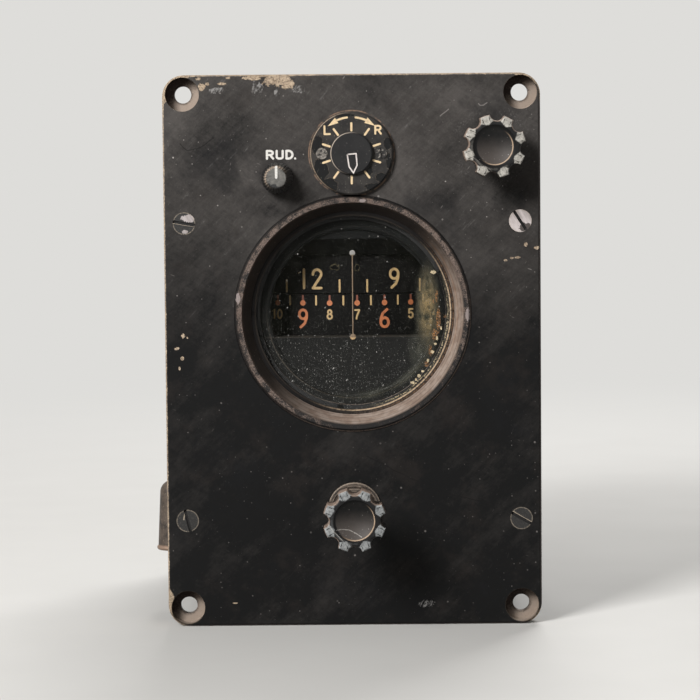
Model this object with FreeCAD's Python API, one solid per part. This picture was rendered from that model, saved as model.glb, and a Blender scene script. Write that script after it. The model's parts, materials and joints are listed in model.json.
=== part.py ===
import FreeCAD, Part
import math
import os

V = FreeCAD.Vector

# Air-driven directional gyro for an instrument panel, in millimetres.
# The face looks along -Y, +X is right and +Z is up as the pilot sees it.
# The origin is the centre of the four corner holes, on the back of the face plate.

# Face plate
plate_width = 139.7
plate_height = 205.4
plate_thickness = 9.5
plate_corner_r = 8.0
plate_edge_bevel = 0.9
plate_skin = 4.5
hole_inset_x = 7.35
hole_inset_z = 7.1
hole_r = 3.15
counterbore_r = 6.3
counterbore_depth = 6.4
pocket_margin = 5.5
boss_wall = 4.0
small_boss_wall = 3.0
pocket_corner_r = 5.0
end_pocket_height = 8.5
end_pocket_inset = 3.0
end_pocket_side = 20.0

# Case behind the plate
case_side_inset = 4.85
case_end_inset = 15.2
case_corner_r = 12.0
case_wall = 3.5
case_edge_bevel = 1.2
gasket_thickness = 0.8
boss_r = 5.4
front_boss_length = 20.0
screw_inset = 2.7
screw_upper_z = 48.0
screw_lower_z = -62.9
rear_boss_r = 4.6
rear_boss_length = 12.0
rear_hole_depth = 8.0
rear_screw_bite = 5.0
rear_screw_inset = 4.2
cover_thickness = 3.5
cover_panel_rise = 3.2
cover_panel_inset = 14.0
cover_rib_width = 4.0
cover_rib_spacing = 26.0

# Screws
screw_head_r = 4.2
screw_shank_r = 2.0
screw_head_depth = 2.4
screw_length = 18.0
slot_width = 1.1
slot_depth = 0.9
small_head_r = 3.0
small_shank_r = 1.5
small_head_height = 1.9
thread_gap = 0.02

# Bezel, glass and mask
bezel_z = 14.0
bezel_r = 44.0
bezel_gap = 0.15
bezel_proud = 1.0
bezel_rim = 2.65
bezel_rim_bevel = 1.1
bezel_step = 1.5
bezel_seat_depth = 6.5
ring_front_depth = 5.9
ring_thickness = 1.4
ring_width = 1.75
glass_thickness = 2.2
glass_inset = 6.05
glass_gap = 0.05
glass_gasket_thickness = 0.6
glass_lip = 3.15
lip_thickness = 1.4
nut_width = 4.5
spanner_slot = 3.0
mask_inset = 2.65
mask_thickness = 1.5
mask_recess = 0.6
bead_from_lip = 2.55
bead_width = 1.3
bead_height = 0.7
window_below = 9.2
window_above = 21.4
window_corner_r = 2.0
recess_above = 27.6
mask_to_card = 1.5
lubber_r = 0.22
dot_r = 1.15
dot_height = 0.5
dot_inset = 0.9

# Number cards
card_clearance = 1.5
card_setback = 22.0
card_thickness = 1.2
card_split_above = 6.4
compass_card_height = 18.2
follow_card_height = 15.9
card_gap = 0.4
spoke_width = 9.0
spoke_thickness = 2.4
card_rim = 3.0
spokes = 6

# Gyro
rear_clearance = 6.5
ring_bar = 5.0
ring_depth = 10.0
ring_corner_r = 15.0
ring_side_gap = 2.0
swing_gap = 2.1
rotor_width = 25.0
rotor_gap = 1.5
rotor_rim = 8.0
rotor_web = 6.0
rotor_hub_r = 7.0
bucket_count = 24
bucket_depth = 2.2
bucket_width = 3.6
bucket_length = 9.0
gimbal_bar = 4.5
gimbal_height = 10.0
gimbal_end_gap = 3.5
shaft_r = 2.2
rotor_shaft_inset = 0.5
bearing_wall = 2.4
bearing_length = 4.0
race_groove = 0.5
running_gap = 0.05
gimbal_pin_r = 1.4
pivot_screw_r = 2.4
pivot_proud = 1.5
pivot_shoulder_gap = 0.55
pivot_tip_gap = 1.0
balance_r = 2.6
balance_height = 2.6
balance_stud_r = 0.9
balance_stud = 5.0
nozzle_r = 1.5
nozzle_spread = 20.0
nozzle_height = 5.5
spindle_r = 2.5
gear_web = 3.6
gear_tooth_height = 2.0
gear_tooth_width = 4.2
gear_outer_gap = 1.2
gear_teeth = 60
gear_spokes = 4
gear_shelf = 2.0
gear_root = 0.2
floor_gap = 1.0

# Bearing post, follow-up sleeve and worm drive
post_r = 6.0
post_flange_r = 13.0
post_flange = 3.0
post_screw_ring = 9.5
post_end_below = 9.0
sleeve_wall = 3.0
collar_height = 3.0
collar_width = 3.4
housing_r = 9.0
housing_height = 4.0
cap_r = 14.0
cap_height = 2.6
course_inset_x = 18.05
course_inset_z = 27.3
worm_r = 5.8
worm_throw = 1.1
worm_turns = 4
worm_section_count = 8
wheel_teeth = 72
wheel_width = 5.0
wheel_crest = 0.6
wheel_root = 2.05
gash_r = 1.45
wheel_rim = 5.0
wheel_hub_wall = 4.0
wheel_web_margin = 2.0
lightening_holes = 5
bracket_thickness = 6.0
bracket_gap = 1.5
bracket_to_wheel = 0.3

# Lobed knobs, course setting and caging
lobes = 8
lobe_r = 11.5
flute_r = 2.2
flute_centre_r = 10.8
lobe_corner_r = 1.2
lobe_round = 1.0
knob_length = 11.5
knob_dish_r = 7.2
knob_dish_lip = 0.5
knob_dish_depth = 1.2
knob_dish_sag = 1.6
knob_face_depth = 5.0
knob_bevel = 0.5
knob_hub_r = 6.6
knob_hub_length = 5.5
knob_shaft_r = 3.2
course_reach = 22.0
course_turn = 18.0
course_bush_r = 5.4
course_flange_r = 8.0
course_flange = 2.2
caging_inset_z = 44.0
caging_reach = 37.0
caging_turn = 22.5
caging_travel = 8.0
caging_flange_r = 9.8
caging_flange = 2.0
caging_step_r = 6.8
caging_step = 1.5
caging_groove_r = 8.0
caging_groove = 0.7
caging_bush_r = 7.5
bush_behind = 1.0
set_screw_r = 1.2
set_screw_length = 3.0

# Caging pinion, spool and lever
pinion_teeth = 24
pinion_width = 3.0
pinion_tooth = 2.0
pinion_to_gear = 0.4
pinion_from_ring = 0.8
spool_r = 6.6
spool_flange = 1.0
spool_groove = 5.8
spool_root_r = 4.6
spool_to_bush = 0.5
lever_thickness = 2.5
fork_prong = 3.0
fork_gap = 0.4
fork_reach = 3.0
lever_pin_r = 1.6
lever_hub_r = 4.0
lever_hub_width = 10.0
lever_pin_height = 5.5
lever_ear = 3.0
lever_ear_gap = 0.3
lever_foot_margin = 1.0

# Turn dial, rudder knob and its valve
dial_r = 15.3
dial_gap = 0.1
dial_thickness = 2.6
dial_bevel = 0.5
dial_screw_ring = 11.0
dial_screw_r = 2.1
dial_screw_rise = 0.5
pointer_r = 7.8
pointer_thickness = 1.7
pointer_gap = 0.3
pointer_shaft_r = 1.6
pointer_bush_r = 4.0
pointer_bush_inset = 2.5
pointer_clip = 1.0
pointer_clip_width = 1.2
rudder_from_dial = 12.3
rudder_drop = 8.9
rudder_skirt_r = 5.8
rudder_face_r = 3.9
rudder_skirt = 4.0
rudder_reach = 13.5
rudder_socket = 3.0
rudder_gap = 0.5
rudder_grips = 28
rudder_grip_r = 0.42
rudder_stem_r = 1.6
valve_r = 5.0
valve_length = 13.0
valve_wall = 2.0

# Air fittings
inlet_depth = 50.0
inlet_above_floor = 29.5
inlet_drop = 21.6
inlet_top_r = 4.7
inlet_mouth_r = 5.7
inlet_wall = 1.0
inlet_lip_r = 0.9
inlet_to_case = 0.1
inlet_stub_r = 3.6
inlet_nut_r = 6.0
inlet_nut = 2.5
screen_thickness = 0.6
screen_holes = 6
screen_hole_r = 0.8
screen_ring = 2.4
nipple_from_axis = 37.5
nipple_r = 6.35
nipple_bore = 4.4
nipple_hex_r = 9.5
nipple_hex = 4.0
nipple_length = 10.0
nipple_tail = 3.0

# Places that follow from the sizes above
front_y = -plate_thickness
hole_x = plate_width / 2 - hole_inset_x
hole_z = plate_height / 2 - hole_inset_z
case_half = plate_width / 2 - case_side_inset
case_top = plate_height / 2 - case_end_inset
inner_half = case_half - case_wall
inner_top = case_top - case_wall
inner_corner_r = case_corner_r - case_wall
card_r = inner_half - card_clearance
axis_y = front_y + card_setback + card_r
case_front_y = gasket_thickness
case_back_y = axis_y + card_r + rear_clearance
cover_y = case_back_y + gasket_thickness
screw_x = case_half - screw_inset
course_x = plate_width / 2 - course_inset_x
course_z = plate_height / 2 - course_inset_z
caging_z = caging_inset_z - plate_height / 2

glass_r = bezel_r - glass_inset
ring_y = front_y + ring_front_depth
glass_y = ring_y + ring_thickness
glass_back_y = glass_y + glass_thickness
lip_y = glass_back_y + glass_gasket_thickness
bezel_back_y = lip_y + lip_thickness
thread_r = bezel_r - bezel_step
lip_r = glass_r + glass_gap - glass_lip
nut_r = bezel_r + bezel_gap + nut_width
mask_r = nut_r - mask_inset
mask_y = bezel_back_y
mask_face_y = mask_y + mask_recess
tub_back_y = axis_y - card_r - mask_to_card
window_bottom = bezel_z - window_below
window_top = bezel_z + window_above
recess_top = bezel_z + recess_above
bead_r = lip_r - bead_from_lip
window_r = bead_r - bead_width

split_z = bezel_z + card_split_above
compass_card_bottom = split_z - card_gap / 2 - compass_card_height
follow_card_bottom = split_z + card_gap / 2
follow_card_top = follow_card_bottom + follow_card_height
ring_top = compass_card_bottom
ring_bottom = -inner_top + housing_height + floor_gap + gear_web
gyro_z = (ring_top + ring_bottom) / 2
ring_half_z = (ring_top - ring_bottom) / 2
swing_r = ring_half_z - ring_bar - swing_gap
rotor_r = math.sqrt(swing_r ** 2 - (rotor_width / 2) ** 2)
gimbal_half_x = rotor_r + rotor_gap + gimbal_bar
gimbal_half_y = rotor_width / 2 + gimbal_end_gap + gimbal_bar
ring_half_x = gimbal_half_x + ring_side_gap + ring_bar
gear_r = math.hypot(ring_half_x, ring_depth / 2) + gear_outer_gap + gear_tooth_width
gear_top = ring_bottom + gear_tooth_height
post_bottom = follow_card_top - post_end_below
sleeve_r = post_r + running_gap + sleeve_wall
spider_z = follow_card_top
collar_r = post_r + collar_width
wheel_pitch_r = course_x - worm_r
worm_lead = 2 * math.pi * wheel_pitch_r / wheel_teeth
worm_length = worm_turns * worm_lead
worm_end_y = axis_y + worm_length / 2
bracket_y = worm_end_y + bracket_gap

course_front = front_y - course_reach
caging_front = front_y - caging_reach
pinion_r = caging_z - gear_top - pinion_to_gear
pinion_back_y = axis_y - math.hypot(ring_half_x, ring_depth / 2) - pinion_from_ring - caging_travel
spool_y = bush_behind + spool_to_bush
spool_length = spool_groove + 2 * spool_flange
lever_pin_z = -inner_top + lever_pin_height
lever_y = spool_y + spool_flange + spool_groove / 2 + caging_travel / 2
lever_rest_tilt = math.degrees(math.asin(caging_travel / 2 / (caging_z - lever_pin_z)))
dial_z = bezel_z + bezel_r + dial_gap + dial_r
dial_front = front_y - dial_thickness
pointer_bush_back = -pointer_bush_inset
rudder_x = -dial_r - rudder_from_dial
rudder_z = dial_z - rudder_drop
inlet_y = front_y + inlet_depth
inlet_z = -case_top + inlet_above_floor
inlet_x = -case_half - inlet_mouth_r - inlet_lip_r / 2 - inlet_to_case
nipple_y = axis_y + nipple_from_axis


def rod_y(r, y0, y1, x=0.0, z=0.0):
    return Part.makeCylinder(r, y1 - y0, V(x, y0, z), V(0, 1, 0))


def rod_z(r, z0, z1, x=0.0, y=axis_y):
    return Part.makeCylinder(r, z1 - z0, V(x, y, z0), V(0, 0, 1))


def rod_x(r, x0, x1, y, z):
    return Part.makeCylinder(r, x1 - x0, V(x0, y, z), V(1, 0, 0))


def box(x0, x1, y0, y1, z0, z1):
    return Part.makeBox(x1 - x0, y1 - y0, z1 - z0, V(x0, y0, z0))


def turned_y(profile, x=0.0, z=0.0):
    """A solid of revolution about a line along Y; the profile is a list of (radius, y)."""
    points = [V(x + r, y, z) for r, y in profile]
    face = Part.Face(Part.makePolygon(points + points[:1]))
    return face.revolve(V(x, 0, z), V(0, 1, 0), 360)


def turned_z(profile, x=0.0, y=axis_y):
    """A solid of revolution about an upright line; the profile is a list of (radius, z)."""
    points = [V(x + r, y, z) for r, z in profile]
    face = Part.Face(Part.makePolygon(points + points[:1]))
    return face.revolve(V(x, y, 0), V(0, 0, 1), 360)


def rounded_slab(half_x, half_z, r, y0, y1, x=0.0, z=0.0):
    """A rectangular block with round upright corners, seen from the front."""
    block = box(x - half_x, x + half_x, y0, y1, z - half_z, z + half_z)
    corners = [e for e in block.Edges if abs(e.tangentAt(e.FirstParameter).y) > 0.99]
    return block.makeFillet(r, corners)


def bevel_rim(shape, size, y):
    """Bevels every edge that lies in the plane at y."""
    edges = [e for e in shape.Edges if e.BoundBox.YLength < 0.01 and abs(e.BoundBox.YMin - y) < 0.01]
    return shape.makeChamfer(size, edges)


def around(shape, count, centre, axis):
    """Copies of a shape, evenly turned about an axis."""
    copies = []
    for i in range(count):
        copy = shape.copy()
        copy.rotate(centre, axis, 360.0 * i / count)
        copies.append(copy)
    return copies


def toothed_disc(teeth, tip_r, root_r, y0, y1, x, z):
    """A spur gear blank with straight-sided teeth, its axis along Y."""
    points = []
    step = 2 * math.pi / teeth
    for i in range(teeth):
        for share, r in ((0.22, root_r), (0.36, tip_r), (0.64, tip_r), (0.78, root_r)):
            angle = (i + share) * step
            points.append(V(x + r * math.cos(angle), y0, z + r * math.sin(angle)))
    face = Part.Face(Part.makePolygon(points + points[:1]))
    return face.extrude(V(0, y1 - y0, 0))


def flat_head_screw(x, z, front, slot_angle):
    """A slotted flat-head screw whose face is flush with the plate's front."""
    body = turned_y(
        [
            (0, front),
            (screw_head_r, front),
            (screw_head_r, front + slot_depth / 3),
            (screw_shank_r, front + screw_head_depth),
            (screw_shank_r, front + screw_length),
            (0, front + screw_length),
        ],
        x,
        z,
    )
    slot = box(x - 2 * screw_head_r, x + 2 * screw_head_r, front - 1, front + slot_depth,
               z - slot_width / 2, z + slot_width / 2)
    slot.rotate(V(x, 0, z), V(0, 1, 0), slot_angle)
    return body.cut(slot)


def small_screw(base, axis, shank):
    """A slotted round-headed screw; base is under its head and axis points out of the head."""
    head = Part.makeCylinder(small_head_r, small_head_height)
    crown = [e for e in head.Edges if e.BoundBox.ZLength < 0.01 and e.BoundBox.ZMin > small_head_height / 2]
    head = head.makeFillet(small_head_height / 2, crown)
    slot = Part.makeBox(4 * small_head_r, slot_width, 4 * small_head_r)
    slot.translate(V(-2 * small_head_r, -slot_width / 2, small_head_height - slot_depth))
    screw = head.cut(slot).fuse(Part.makeCylinder(small_shank_r, shank, V(0, 0, 0), V(0, 0, -1)))
    screw.Placement = FreeCAD.Placement(base, FreeCAD.Rotation(V(0, 0, 1), axis))
    return screw


def holes_y(places, r, y0, y1):
    return [rod_y(r, y0, y1, x, z) for x, z in places]


corner_holes = [(x, z) for x in (-hole_x, hole_x) for z in (-hole_z, hole_z)]
plate_screw_places = [(x, z) for z in (screw_upper_z, screw_lower_z) for x in (-screw_x, screw_x)]
plate_screw_turns = [10.0, 57.0, 76.0, 30.0]
rear_x = inner_half - rear_screw_inset
rear_z = inner_top - rear_screw_inset
rear_screw_places = [(x, z) for x in (-rear_x, rear_x) for z in (-rear_z, 0.0, rear_z)]
dial_screw_places = [(-dial_screw_ring, dial_z), (dial_screw_ring, dial_z)]
dial_screw_turns = [25.0, 80.0]


def make_face_plate():
    plate = rounded_slab(plate_width / 2, plate_height / 2, plate_corner_r, front_y, 0.0)
    plate = bevel_rim(plate, plate_edge_bevel, front_y)
    skin_y = front_y + plate_skin
    pocket = rounded_slab(inner_half - pocket_margin, inner_top - pocket_margin, pocket_corner_r,
                          skin_y, 1.0)
    bosses = [
        rod_y(nut_r, skin_y, 1.0, 0, bezel_z),
        rod_y(course_bush_r + boss_wall, skin_y, 1.0, course_x, course_z),
        rod_y(caging_bush_r + boss_wall, skin_y, 1.0, 0, caging_z),
        rod_y(valve_r + small_boss_wall, skin_y, 1.0, rudder_x, rudder_z),
        rod_y(pointer_bush_r + small_boss_wall, skin_y, 1.0, 0, dial_z),
    ]
    bosses += [rod_y(boss_r, skin_y, 1.0, x, z) for x, z in plate_screw_places]
    pocket = pocket.cut(bosses)
    end_half = plate_width / 2 - end_pocket_side
    end_z = plate_height / 2 - end_pocket_inset - end_pocket_height / 2
    end_pockets = [rounded_slab(end_half, end_pocket_height / 2, end_pocket_height / 3, skin_y, 1.0,
                                0, side * end_z) for side in (-1, 1)]
    seat_y = front_y + bezel_seat_depth
    cuts = [pocket] + end_pockets
    cuts += holes_y(corner_holes, hole_r, front_y - 1, 1)
    cuts += holes_y(corner_holes, counterbore_r, front_y - 1, front_y + counterbore_depth)
    cuts.append(rod_y(bezel_r + bezel_gap, front_y - 1, seat_y, 0, bezel_z))
    cuts.append(rod_y(thread_r + bezel_gap, front_y - 1, 1, 0, bezel_z))
    for x, z in plate_screw_places:
        cuts.append(turned_y([(0, front_y - 1), (screw_head_r + thread_gap, front_y - 1),
                              (screw_head_r + thread_gap, front_y + slot_depth / 3),
                              (screw_shank_r + thread_gap, front_y + screw_head_depth + thread_gap),
                              (screw_shank_r + thread_gap, 1), (0, 1)], x, z))
    cuts.append(rod_y(course_bush_r, front_y - 1, 1, course_x, course_z))
    cuts.append(rod_y(caging_bush_r, front_y - 1, 1, 0, caging_z))
    cuts.append(rod_y(valve_r, front_y - 1, 1, rudder_x, rudder_z))
    cuts.append(rod_y(pointer_bush_r, front_y - 1, 1, 0, dial_z))
    cuts += holes_y(dial_screw_places, dial_screw_r / 2, front_y - 1, skin_y + 1)
    return plate.cut(cuts)


def make_plate_screws():
    return [flat_head_screw(x, z, front_y, turn)
            for (x, z), turn in zip(plate_screw_places, plate_screw_turns)]


def make_bezel_ring():
    rim_front = front_y - bezel_proud
    seat_y = front_y + bezel_seat_depth
    return turned_y(
        [
            (bezel_r - bezel_rim, rim_front),
            (bezel_r - bezel_rim_bevel, rim_front),
            (bezel_r, rim_front + bezel_rim_bevel),
            (bezel_r, seat_y),
            (thread_r, seat_y),
            (thread_r, bezel_back_y),
            (lip_r, bezel_back_y),
            (lip_r, lip_y),
            (glass_r + glass_gap, lip_y),
            (glass_r + glass_gap, ring_y),
        ],
        0,
        bezel_z,
    )


def make_bezel_nut():
    nut = turned_y([(thread_r + thread_gap, 0), (nut_r, 0), (nut_r, bezel_back_y),
                    (thread_r + thread_gap, bezel_back_y)], 0, bezel_z)
    slot = box(nut_r - spanner_slot / 2, nut_r + 1, -1, bezel_back_y + 1,
               bezel_z - spanner_slot / 2, bezel_z + spanner_slot / 2)
    return nut.cut(around(slot, 4, V(0, 0, bezel_z), V(0, 1, 0)))


def make_retaining_ring():
    ring = turned_y([(glass_r - ring_width, ring_y), (glass_r, ring_y), (glass_r, glass_y),
                     (glass_r - ring_width, glass_y)], 0, bezel_z)
    slot = box(glass_r - 2 * ring_width, glass_r + 1, ring_y - 1, ring_y + ring_thickness / 2,
               bezel_z - spanner_slot / 4, bezel_z + spanner_slot / 4)
    return ring.cut(around(slot, 2, V(0, 0, bezel_z), V(0, 1, 0)))


def make_window_glass():
    return rod_y(glass_r, glass_y, glass_back_y, 0, bezel_z)


def make_glass_gasket():
    return turned_y([(lip_r, glass_back_y), (glass_r, glass_back_y), (glass_r, lip_y), (lip_r, lip_y)],
                    0, bezel_z)


def window_prism(y0, y1, r, bottom, top_front, top_back, corner):
    """The round-sided window: a straight sill, rounded at its ends, and a head that slopes to the back."""
    side = Part.makePolygon([V(-r - 1, y0, bottom), V(-r - 1, y1, bottom), V(-r - 1, y1, top_back),
                             V(-r - 1, y0, top_front), V(-r - 1, y0, bottom)])
    wedge = Part.Face(side).extrude(V(2 * r + 2, 0, 0))
    room = wedge.common(rod_y(r, y0, y1, 0, bezel_z))
    sill_ends = [e for e in room.Edges if e.BoundBox.YLength > 1 and e.BoundBox.XLength < 0.01
                 and e.BoundBox.ZMax < bottom + 0.01]
    return room.makeFillet(corner, sill_ends)


def make_dial_mask():
    back_y = mask_y + mask_thickness
    disc = rod_y(mask_r, mask_y, back_y, 0, bezel_z)
    bead_front = mask_y - bead_height
    bead_side = mask_y - bead_height / 2
    bead_back = mask_y + mask_thickness / 2
    bead = turned_y([(window_r, bead_side), (window_r + bead_width / 2, bead_front), (bead_r, bead_side),
                     (bead_r, bead_back), (window_r, bead_back)], 0, bezel_z)
    dish = rod_y(window_r, mask_y, mask_face_y, 0, bezel_z)
    floor_plate = rod_y(window_r + mask_thickness, mask_face_y, back_y + mask_recess, 0, bezel_z)
    tub = window_prism(mask_face_y, tub_back_y, window_r + mask_thickness,
                       window_bottom - mask_thickness, recess_top + mask_thickness,
                       window_top + 2 * mask_thickness, window_corner_r + mask_thickness)
    slope = (recess_top - window_top) / (tub_back_y - mask_face_y)
    hollow = window_prism(mask_y - 2, tub_back_y + 1, window_r, window_bottom,
                          recess_top + slope * (mask_face_y - mask_y + 2), window_top - slope,
                          window_corner_r)
    mask = disc.cut(dish).fuse([bead, floor_plate, tub]).cut(hollow)
    return mask.cut(holes_y(mask_screw_places(), small_shank_r + thread_gap, mask_y - 1, back_y + 1))


def mask_screw_places():
    ring = (thread_r + nut_r) / 2 - small_shank_r / 2
    angles = [math.radians(a) for a in (90, 210, 330)]
    return [(ring * math.cos(a), bezel_z + ring * math.sin(a)) for a in angles]


def make_mask_screws():
    back_y = mask_y + mask_thickness
    return [small_screw(V(x, back_y, z), V(0, 1, 0), mask_thickness) for x, z in mask_screw_places()]


def make_lubber_line():
    """A straight wire from the sill of the window up to its sloping head, with a dot at each end."""
    slope = (tub_back_y - mask_face_y) / (recess_top - window_top)
    foot = V(0, mask_face_y, window_bottom - dot_inset)
    head_z = window_top + dot_inset
    head = V(0, mask_face_y + (recess_top - head_z) * slope, head_z)
    foot_front = foot - V(0, dot_height, 0)
    head_front = head - V(0, dot_height, 0)
    lower_dot = rod_y(dot_r, foot_front.y, foot.y, 0, foot.z)
    upper_dot = rod_y(dot_r, head_front.y - dot_height, head.y + dot_r * slope, 0, head.z)
    upper_dot = upper_dot.cut(window_head_block())
    run = head_front - foot_front
    wire = Part.makeCylinder(lubber_r, run.Length, foot_front, run)
    return lower_dot.fuse([upper_dot, wire]).removeSplitter()


def window_head_block():
    """The mask's material above the sloping head of the window."""
    slope = (recess_top - window_top) / (tub_back_y - mask_face_y)
    points = [V(-dot_r * 2, mask_face_y, recess_top), V(-dot_r * 2, tub_back_y + 2, window_top - 2 * slope),
              V(-dot_r * 2, tub_back_y + 2, recess_top + 1), V(-dot_r * 2, mask_face_y, recess_top + 1)]
    return Part.Face(Part.makePolygon(points + points[:1])).extrude(V(dot_r * 4, 0, 0))


def card_band(bottom, top):
    return turned_z([(card_r - card_thickness, bottom), (card_r, bottom), (card_r, top),
                     (card_r - card_thickness, top)])


def spider(z0, z1, hub_r, bore_r):
    """A hub, spokes and a rim that carry a number card."""
    outer = card_r - card_thickness
    hub = rod_z(hub_r, z0, z1)
    rim = rod_z(outer, z0, z1).cut(rod_z(outer - card_rim, z0, z1))
    spoke = box(-spoke_width / 2, spoke_width / 2, axis_y + hub_r - 1, axis_y + outer - 1, z0, z1)
    arms = around(spoke, spokes, V(0, axis_y, 0), V(0, 0, 1))
    return hub.fuse([rim] + arms).cut(rod_z(bore_r, z0 - 1, z1 + 1)).removeSplitter()


def make_compass_card():
    return card_band(compass_card_bottom, compass_card_bottom + compass_card_height)


def make_card_carrier():
    return spider(ring_top, ring_top + spoke_thickness, ring_depth, spindle_r)


def make_follow_up_card():
    return card_band(follow_card_bottom, follow_card_top)


def make_follow_up_spider():
    z0 = spider_z - spoke_thickness
    plate = spider(z0, spider_z, sleeve_r + sleeve_wall, post_r + running_gap)
    sleeve = rod_z(sleeve_r, z0, course_z + wheel_width / 2)
    bore = rod_z(post_r + running_gap, z0 - 1, course_z + wheel_width)
    return plate.fuse(sleeve).cut(bore).removeSplitter()


def make_worm_wheel():
    """A thin brass wheel with round-bottomed gashes that the worm's round thread runs in."""
    z0 = course_z - wheel_width / 2
    z1 = course_z + wheel_width / 2
    tip_r = wheel_pitch_r + wheel_crest
    blank = rod_z(tip_r, z0, z1).cut(rod_z(sleeve_r, z0 - 1, z1 + 1))
    rim_in = tip_r - wheel_rim
    hub_out = sleeve_r + wheel_hub_wall
    web = rod_z(rim_in, z0 - 1, z1 - spoke_thickness).cut(rod_z(hub_out, z0 - 2, z1))
    lighten_r = (rim_in - hub_out) / 2 - wheel_web_margin
    lighten = rod_z(lighten_r, z0 - 1, z1 + 1, (rim_in + hub_out) / 2, axis_y)
    gash_x = wheel_pitch_r - wheel_root + gash_r
    gash = rod_z(gash_r, z0 - 1, z1 + 1, gash_x, axis_y)
    gash = gash.fuse(box(gash_x, tip_r + 1, axis_y - gash_r, axis_y + gash_r, z0 - 1, z1 + 1))
    centre = V(0, axis_y, 0)
    cuts = [web] + around(lighten, lightening_holes, centre, V(0, 0, 1))
    cuts += around(gash, wheel_teeth, centre, V(0, 0, 1))
    return blank.cut(cuts)


def make_course_worm():
    """A worm with a rounded thread: a round bar whose centre winds about its axis."""
    steps = worm_turns * worm_section_count
    rings = []
    for i in range(steps + 1):
        angle = 2 * math.pi * i / worm_section_count
        y = axis_y - worm_length / 2 + worm_length * i / steps
        centre = V(course_x - worm_throw * math.cos(angle), y, course_z + worm_throw * math.sin(angle))
        rings.append(Part.Wire(Part.makeCircle(worm_r, centre, V(0, 1, 0))))
    thread = Part.makeLoft(rings, True, False)
    return thread.cut(rod_y(knob_shaft_r, 0, case_back_y, course_x, course_z))


def make_course_shaft():
    start = course_front + knob_face_depth
    return rod_y(knob_shaft_r, start, bracket_y + bracket_thickness, course_x, course_z)


def make_worm_bracket():
    """A hanger from the case roof that carries the far end of the course shaft."""
    y1 = bracket_y + bracket_thickness
    half = worm_r - wheel_crest - bracket_to_wheel
    hanger = box(course_x - half, course_x + half, bracket_y, y1, course_z, inner_top)
    boss = rod_y(half, bracket_y, y1, course_x, course_z)
    room = rounded_slab(inner_half, inner_top, inner_corner_r, bracket_y - 1, y1 + 1)
    bore = rod_y(knob_shaft_r + running_gap, bracket_y - 1, y1 + 1, course_x, course_z)
    return hanger.fuse(boss).removeSplitter().common(room).cut(bore)


def lobe_outline(x, y, z, turn):
    """The knob's outline: for each lobe an outer arc, two rounded corners and the flute beside it."""
    step = 2 * math.pi / lobes
    corner_at = lobe_r - lobe_corner_r
    reach = flute_r + lobe_corner_r
    cos_corner = (corner_at ** 2 + flute_centre_r ** 2 - reach ** 2) / (2 * corner_at * flute_centre_r)
    corner_turn = math.acos(cos_corner)

    def at(r, angle):
        return V(x + r * math.cos(angle), y, z + r * math.sin(angle))

    def toward(start, end, distance):
        return start + (end - start).normalize() * distance

    def round_corner(centre, first, last):
        return Part.Arc(first, toward(centre, (first + last) / 2, lobe_corner_r), last).toShape()

    edges = []
    for i in range(lobes):
        middle = i * step - math.radians(turn)
        flute = at(flute_centre_r, middle)
        before = at(corner_at, middle - corner_turn)
        after = at(corner_at, middle + corner_turn)
        flute_in = toward(flute, before, flute_r)
        flute_out = toward(flute, after, flute_r)
        lobe_start = at(lobe_r, middle + corner_turn)
        lobe_end = at(lobe_r, middle + step - corner_turn)
        edges.append(round_corner(before, at(lobe_r, middle - corner_turn), flute_in))
        edges.append(Part.Arc(flute_in, at(flute_centre_r - flute_r, middle), flute_out).toShape())
        edges.append(round_corner(after, flute_out, lobe_start))
        edges.append(Part.Arc(lobe_start, at(lobe_r, middle + step / 2), lobe_end).toShape())
    return Part.Wire(edges)


def lobed_knob(x, z, front, turn):
    """A moulded knob of rounded lobes round a dished face, its hub towards the panel."""
    back = front + knob_length
    body = Part.Face(lobe_outline(x, front, z, turn)).extrude(V(0, knob_length, 0))
    face_rim = [e for e in body.Edges if e.BoundBox.YMax < front + 0.01]
    body = bevel_rim(body.makeFillet(lobe_round, face_rim), knob_bevel, back)
    bowl_r = (knob_dish_r ** 2 + knob_dish_sag ** 2) / (2 * knob_dish_sag)
    bowl_y = front + knob_dish_depth + knob_dish_sag - bowl_r
    bowl = rod_y(knob_dish_r, front - 1, back, x, z).common(Part.makeSphere(bowl_r, V(x, bowl_y, z)))
    lip = turned_y([(0, front - 1), (knob_dish_r + knob_dish_lip + 1, front - 1),
                    (knob_dish_r, front + knob_dish_lip), (0, front + knob_dish_lip)], x, z)
    hub = rod_y(knob_hub_r, back - 1, back + knob_hub_length, x, z)
    shaft_seat = rod_y(knob_shaft_r, front + knob_face_depth, back + knob_hub_length + 1, x, z)
    screw_hole = Part.makeCylinder(set_screw_r, lobe_r, V(x, back + knob_hub_length / 2, z), V(0, 0, -1))
    return body.fuse(hub).cut([bowl, lip, shaft_seat, screw_hole]).removeSplitter()


def make_knob_set_screw(x, z, front):
    y = front + knob_length + knob_hub_length / 2
    start = V(x, y, z - knob_shaft_r)
    screw = Part.makeCylinder(set_screw_r, set_screw_length, start, V(0, 0, -1))
    slot = box(x - set_screw_r, x + set_screw_r, y - slot_width / 4, y + slot_width / 4,
               z - knob_shaft_r - set_screw_length - 1, z - knob_shaft_r - set_screw_length + slot_depth)
    return screw.cut(slot)


def make_course_bushing():
    outer = front_y - course_flange
    bush = turned_y([(0, outer), (course_flange_r - knob_bevel, outer),
                     (course_flange_r, outer + knob_bevel), (course_flange_r, front_y),
                     (course_bush_r, front_y), (course_bush_r, bush_behind), (0, bush_behind)],
                    course_x, course_z)
    return bush.cut(rod_y(knob_shaft_r + running_gap, outer - 1, bush_behind + 1, course_x, course_z))


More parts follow.
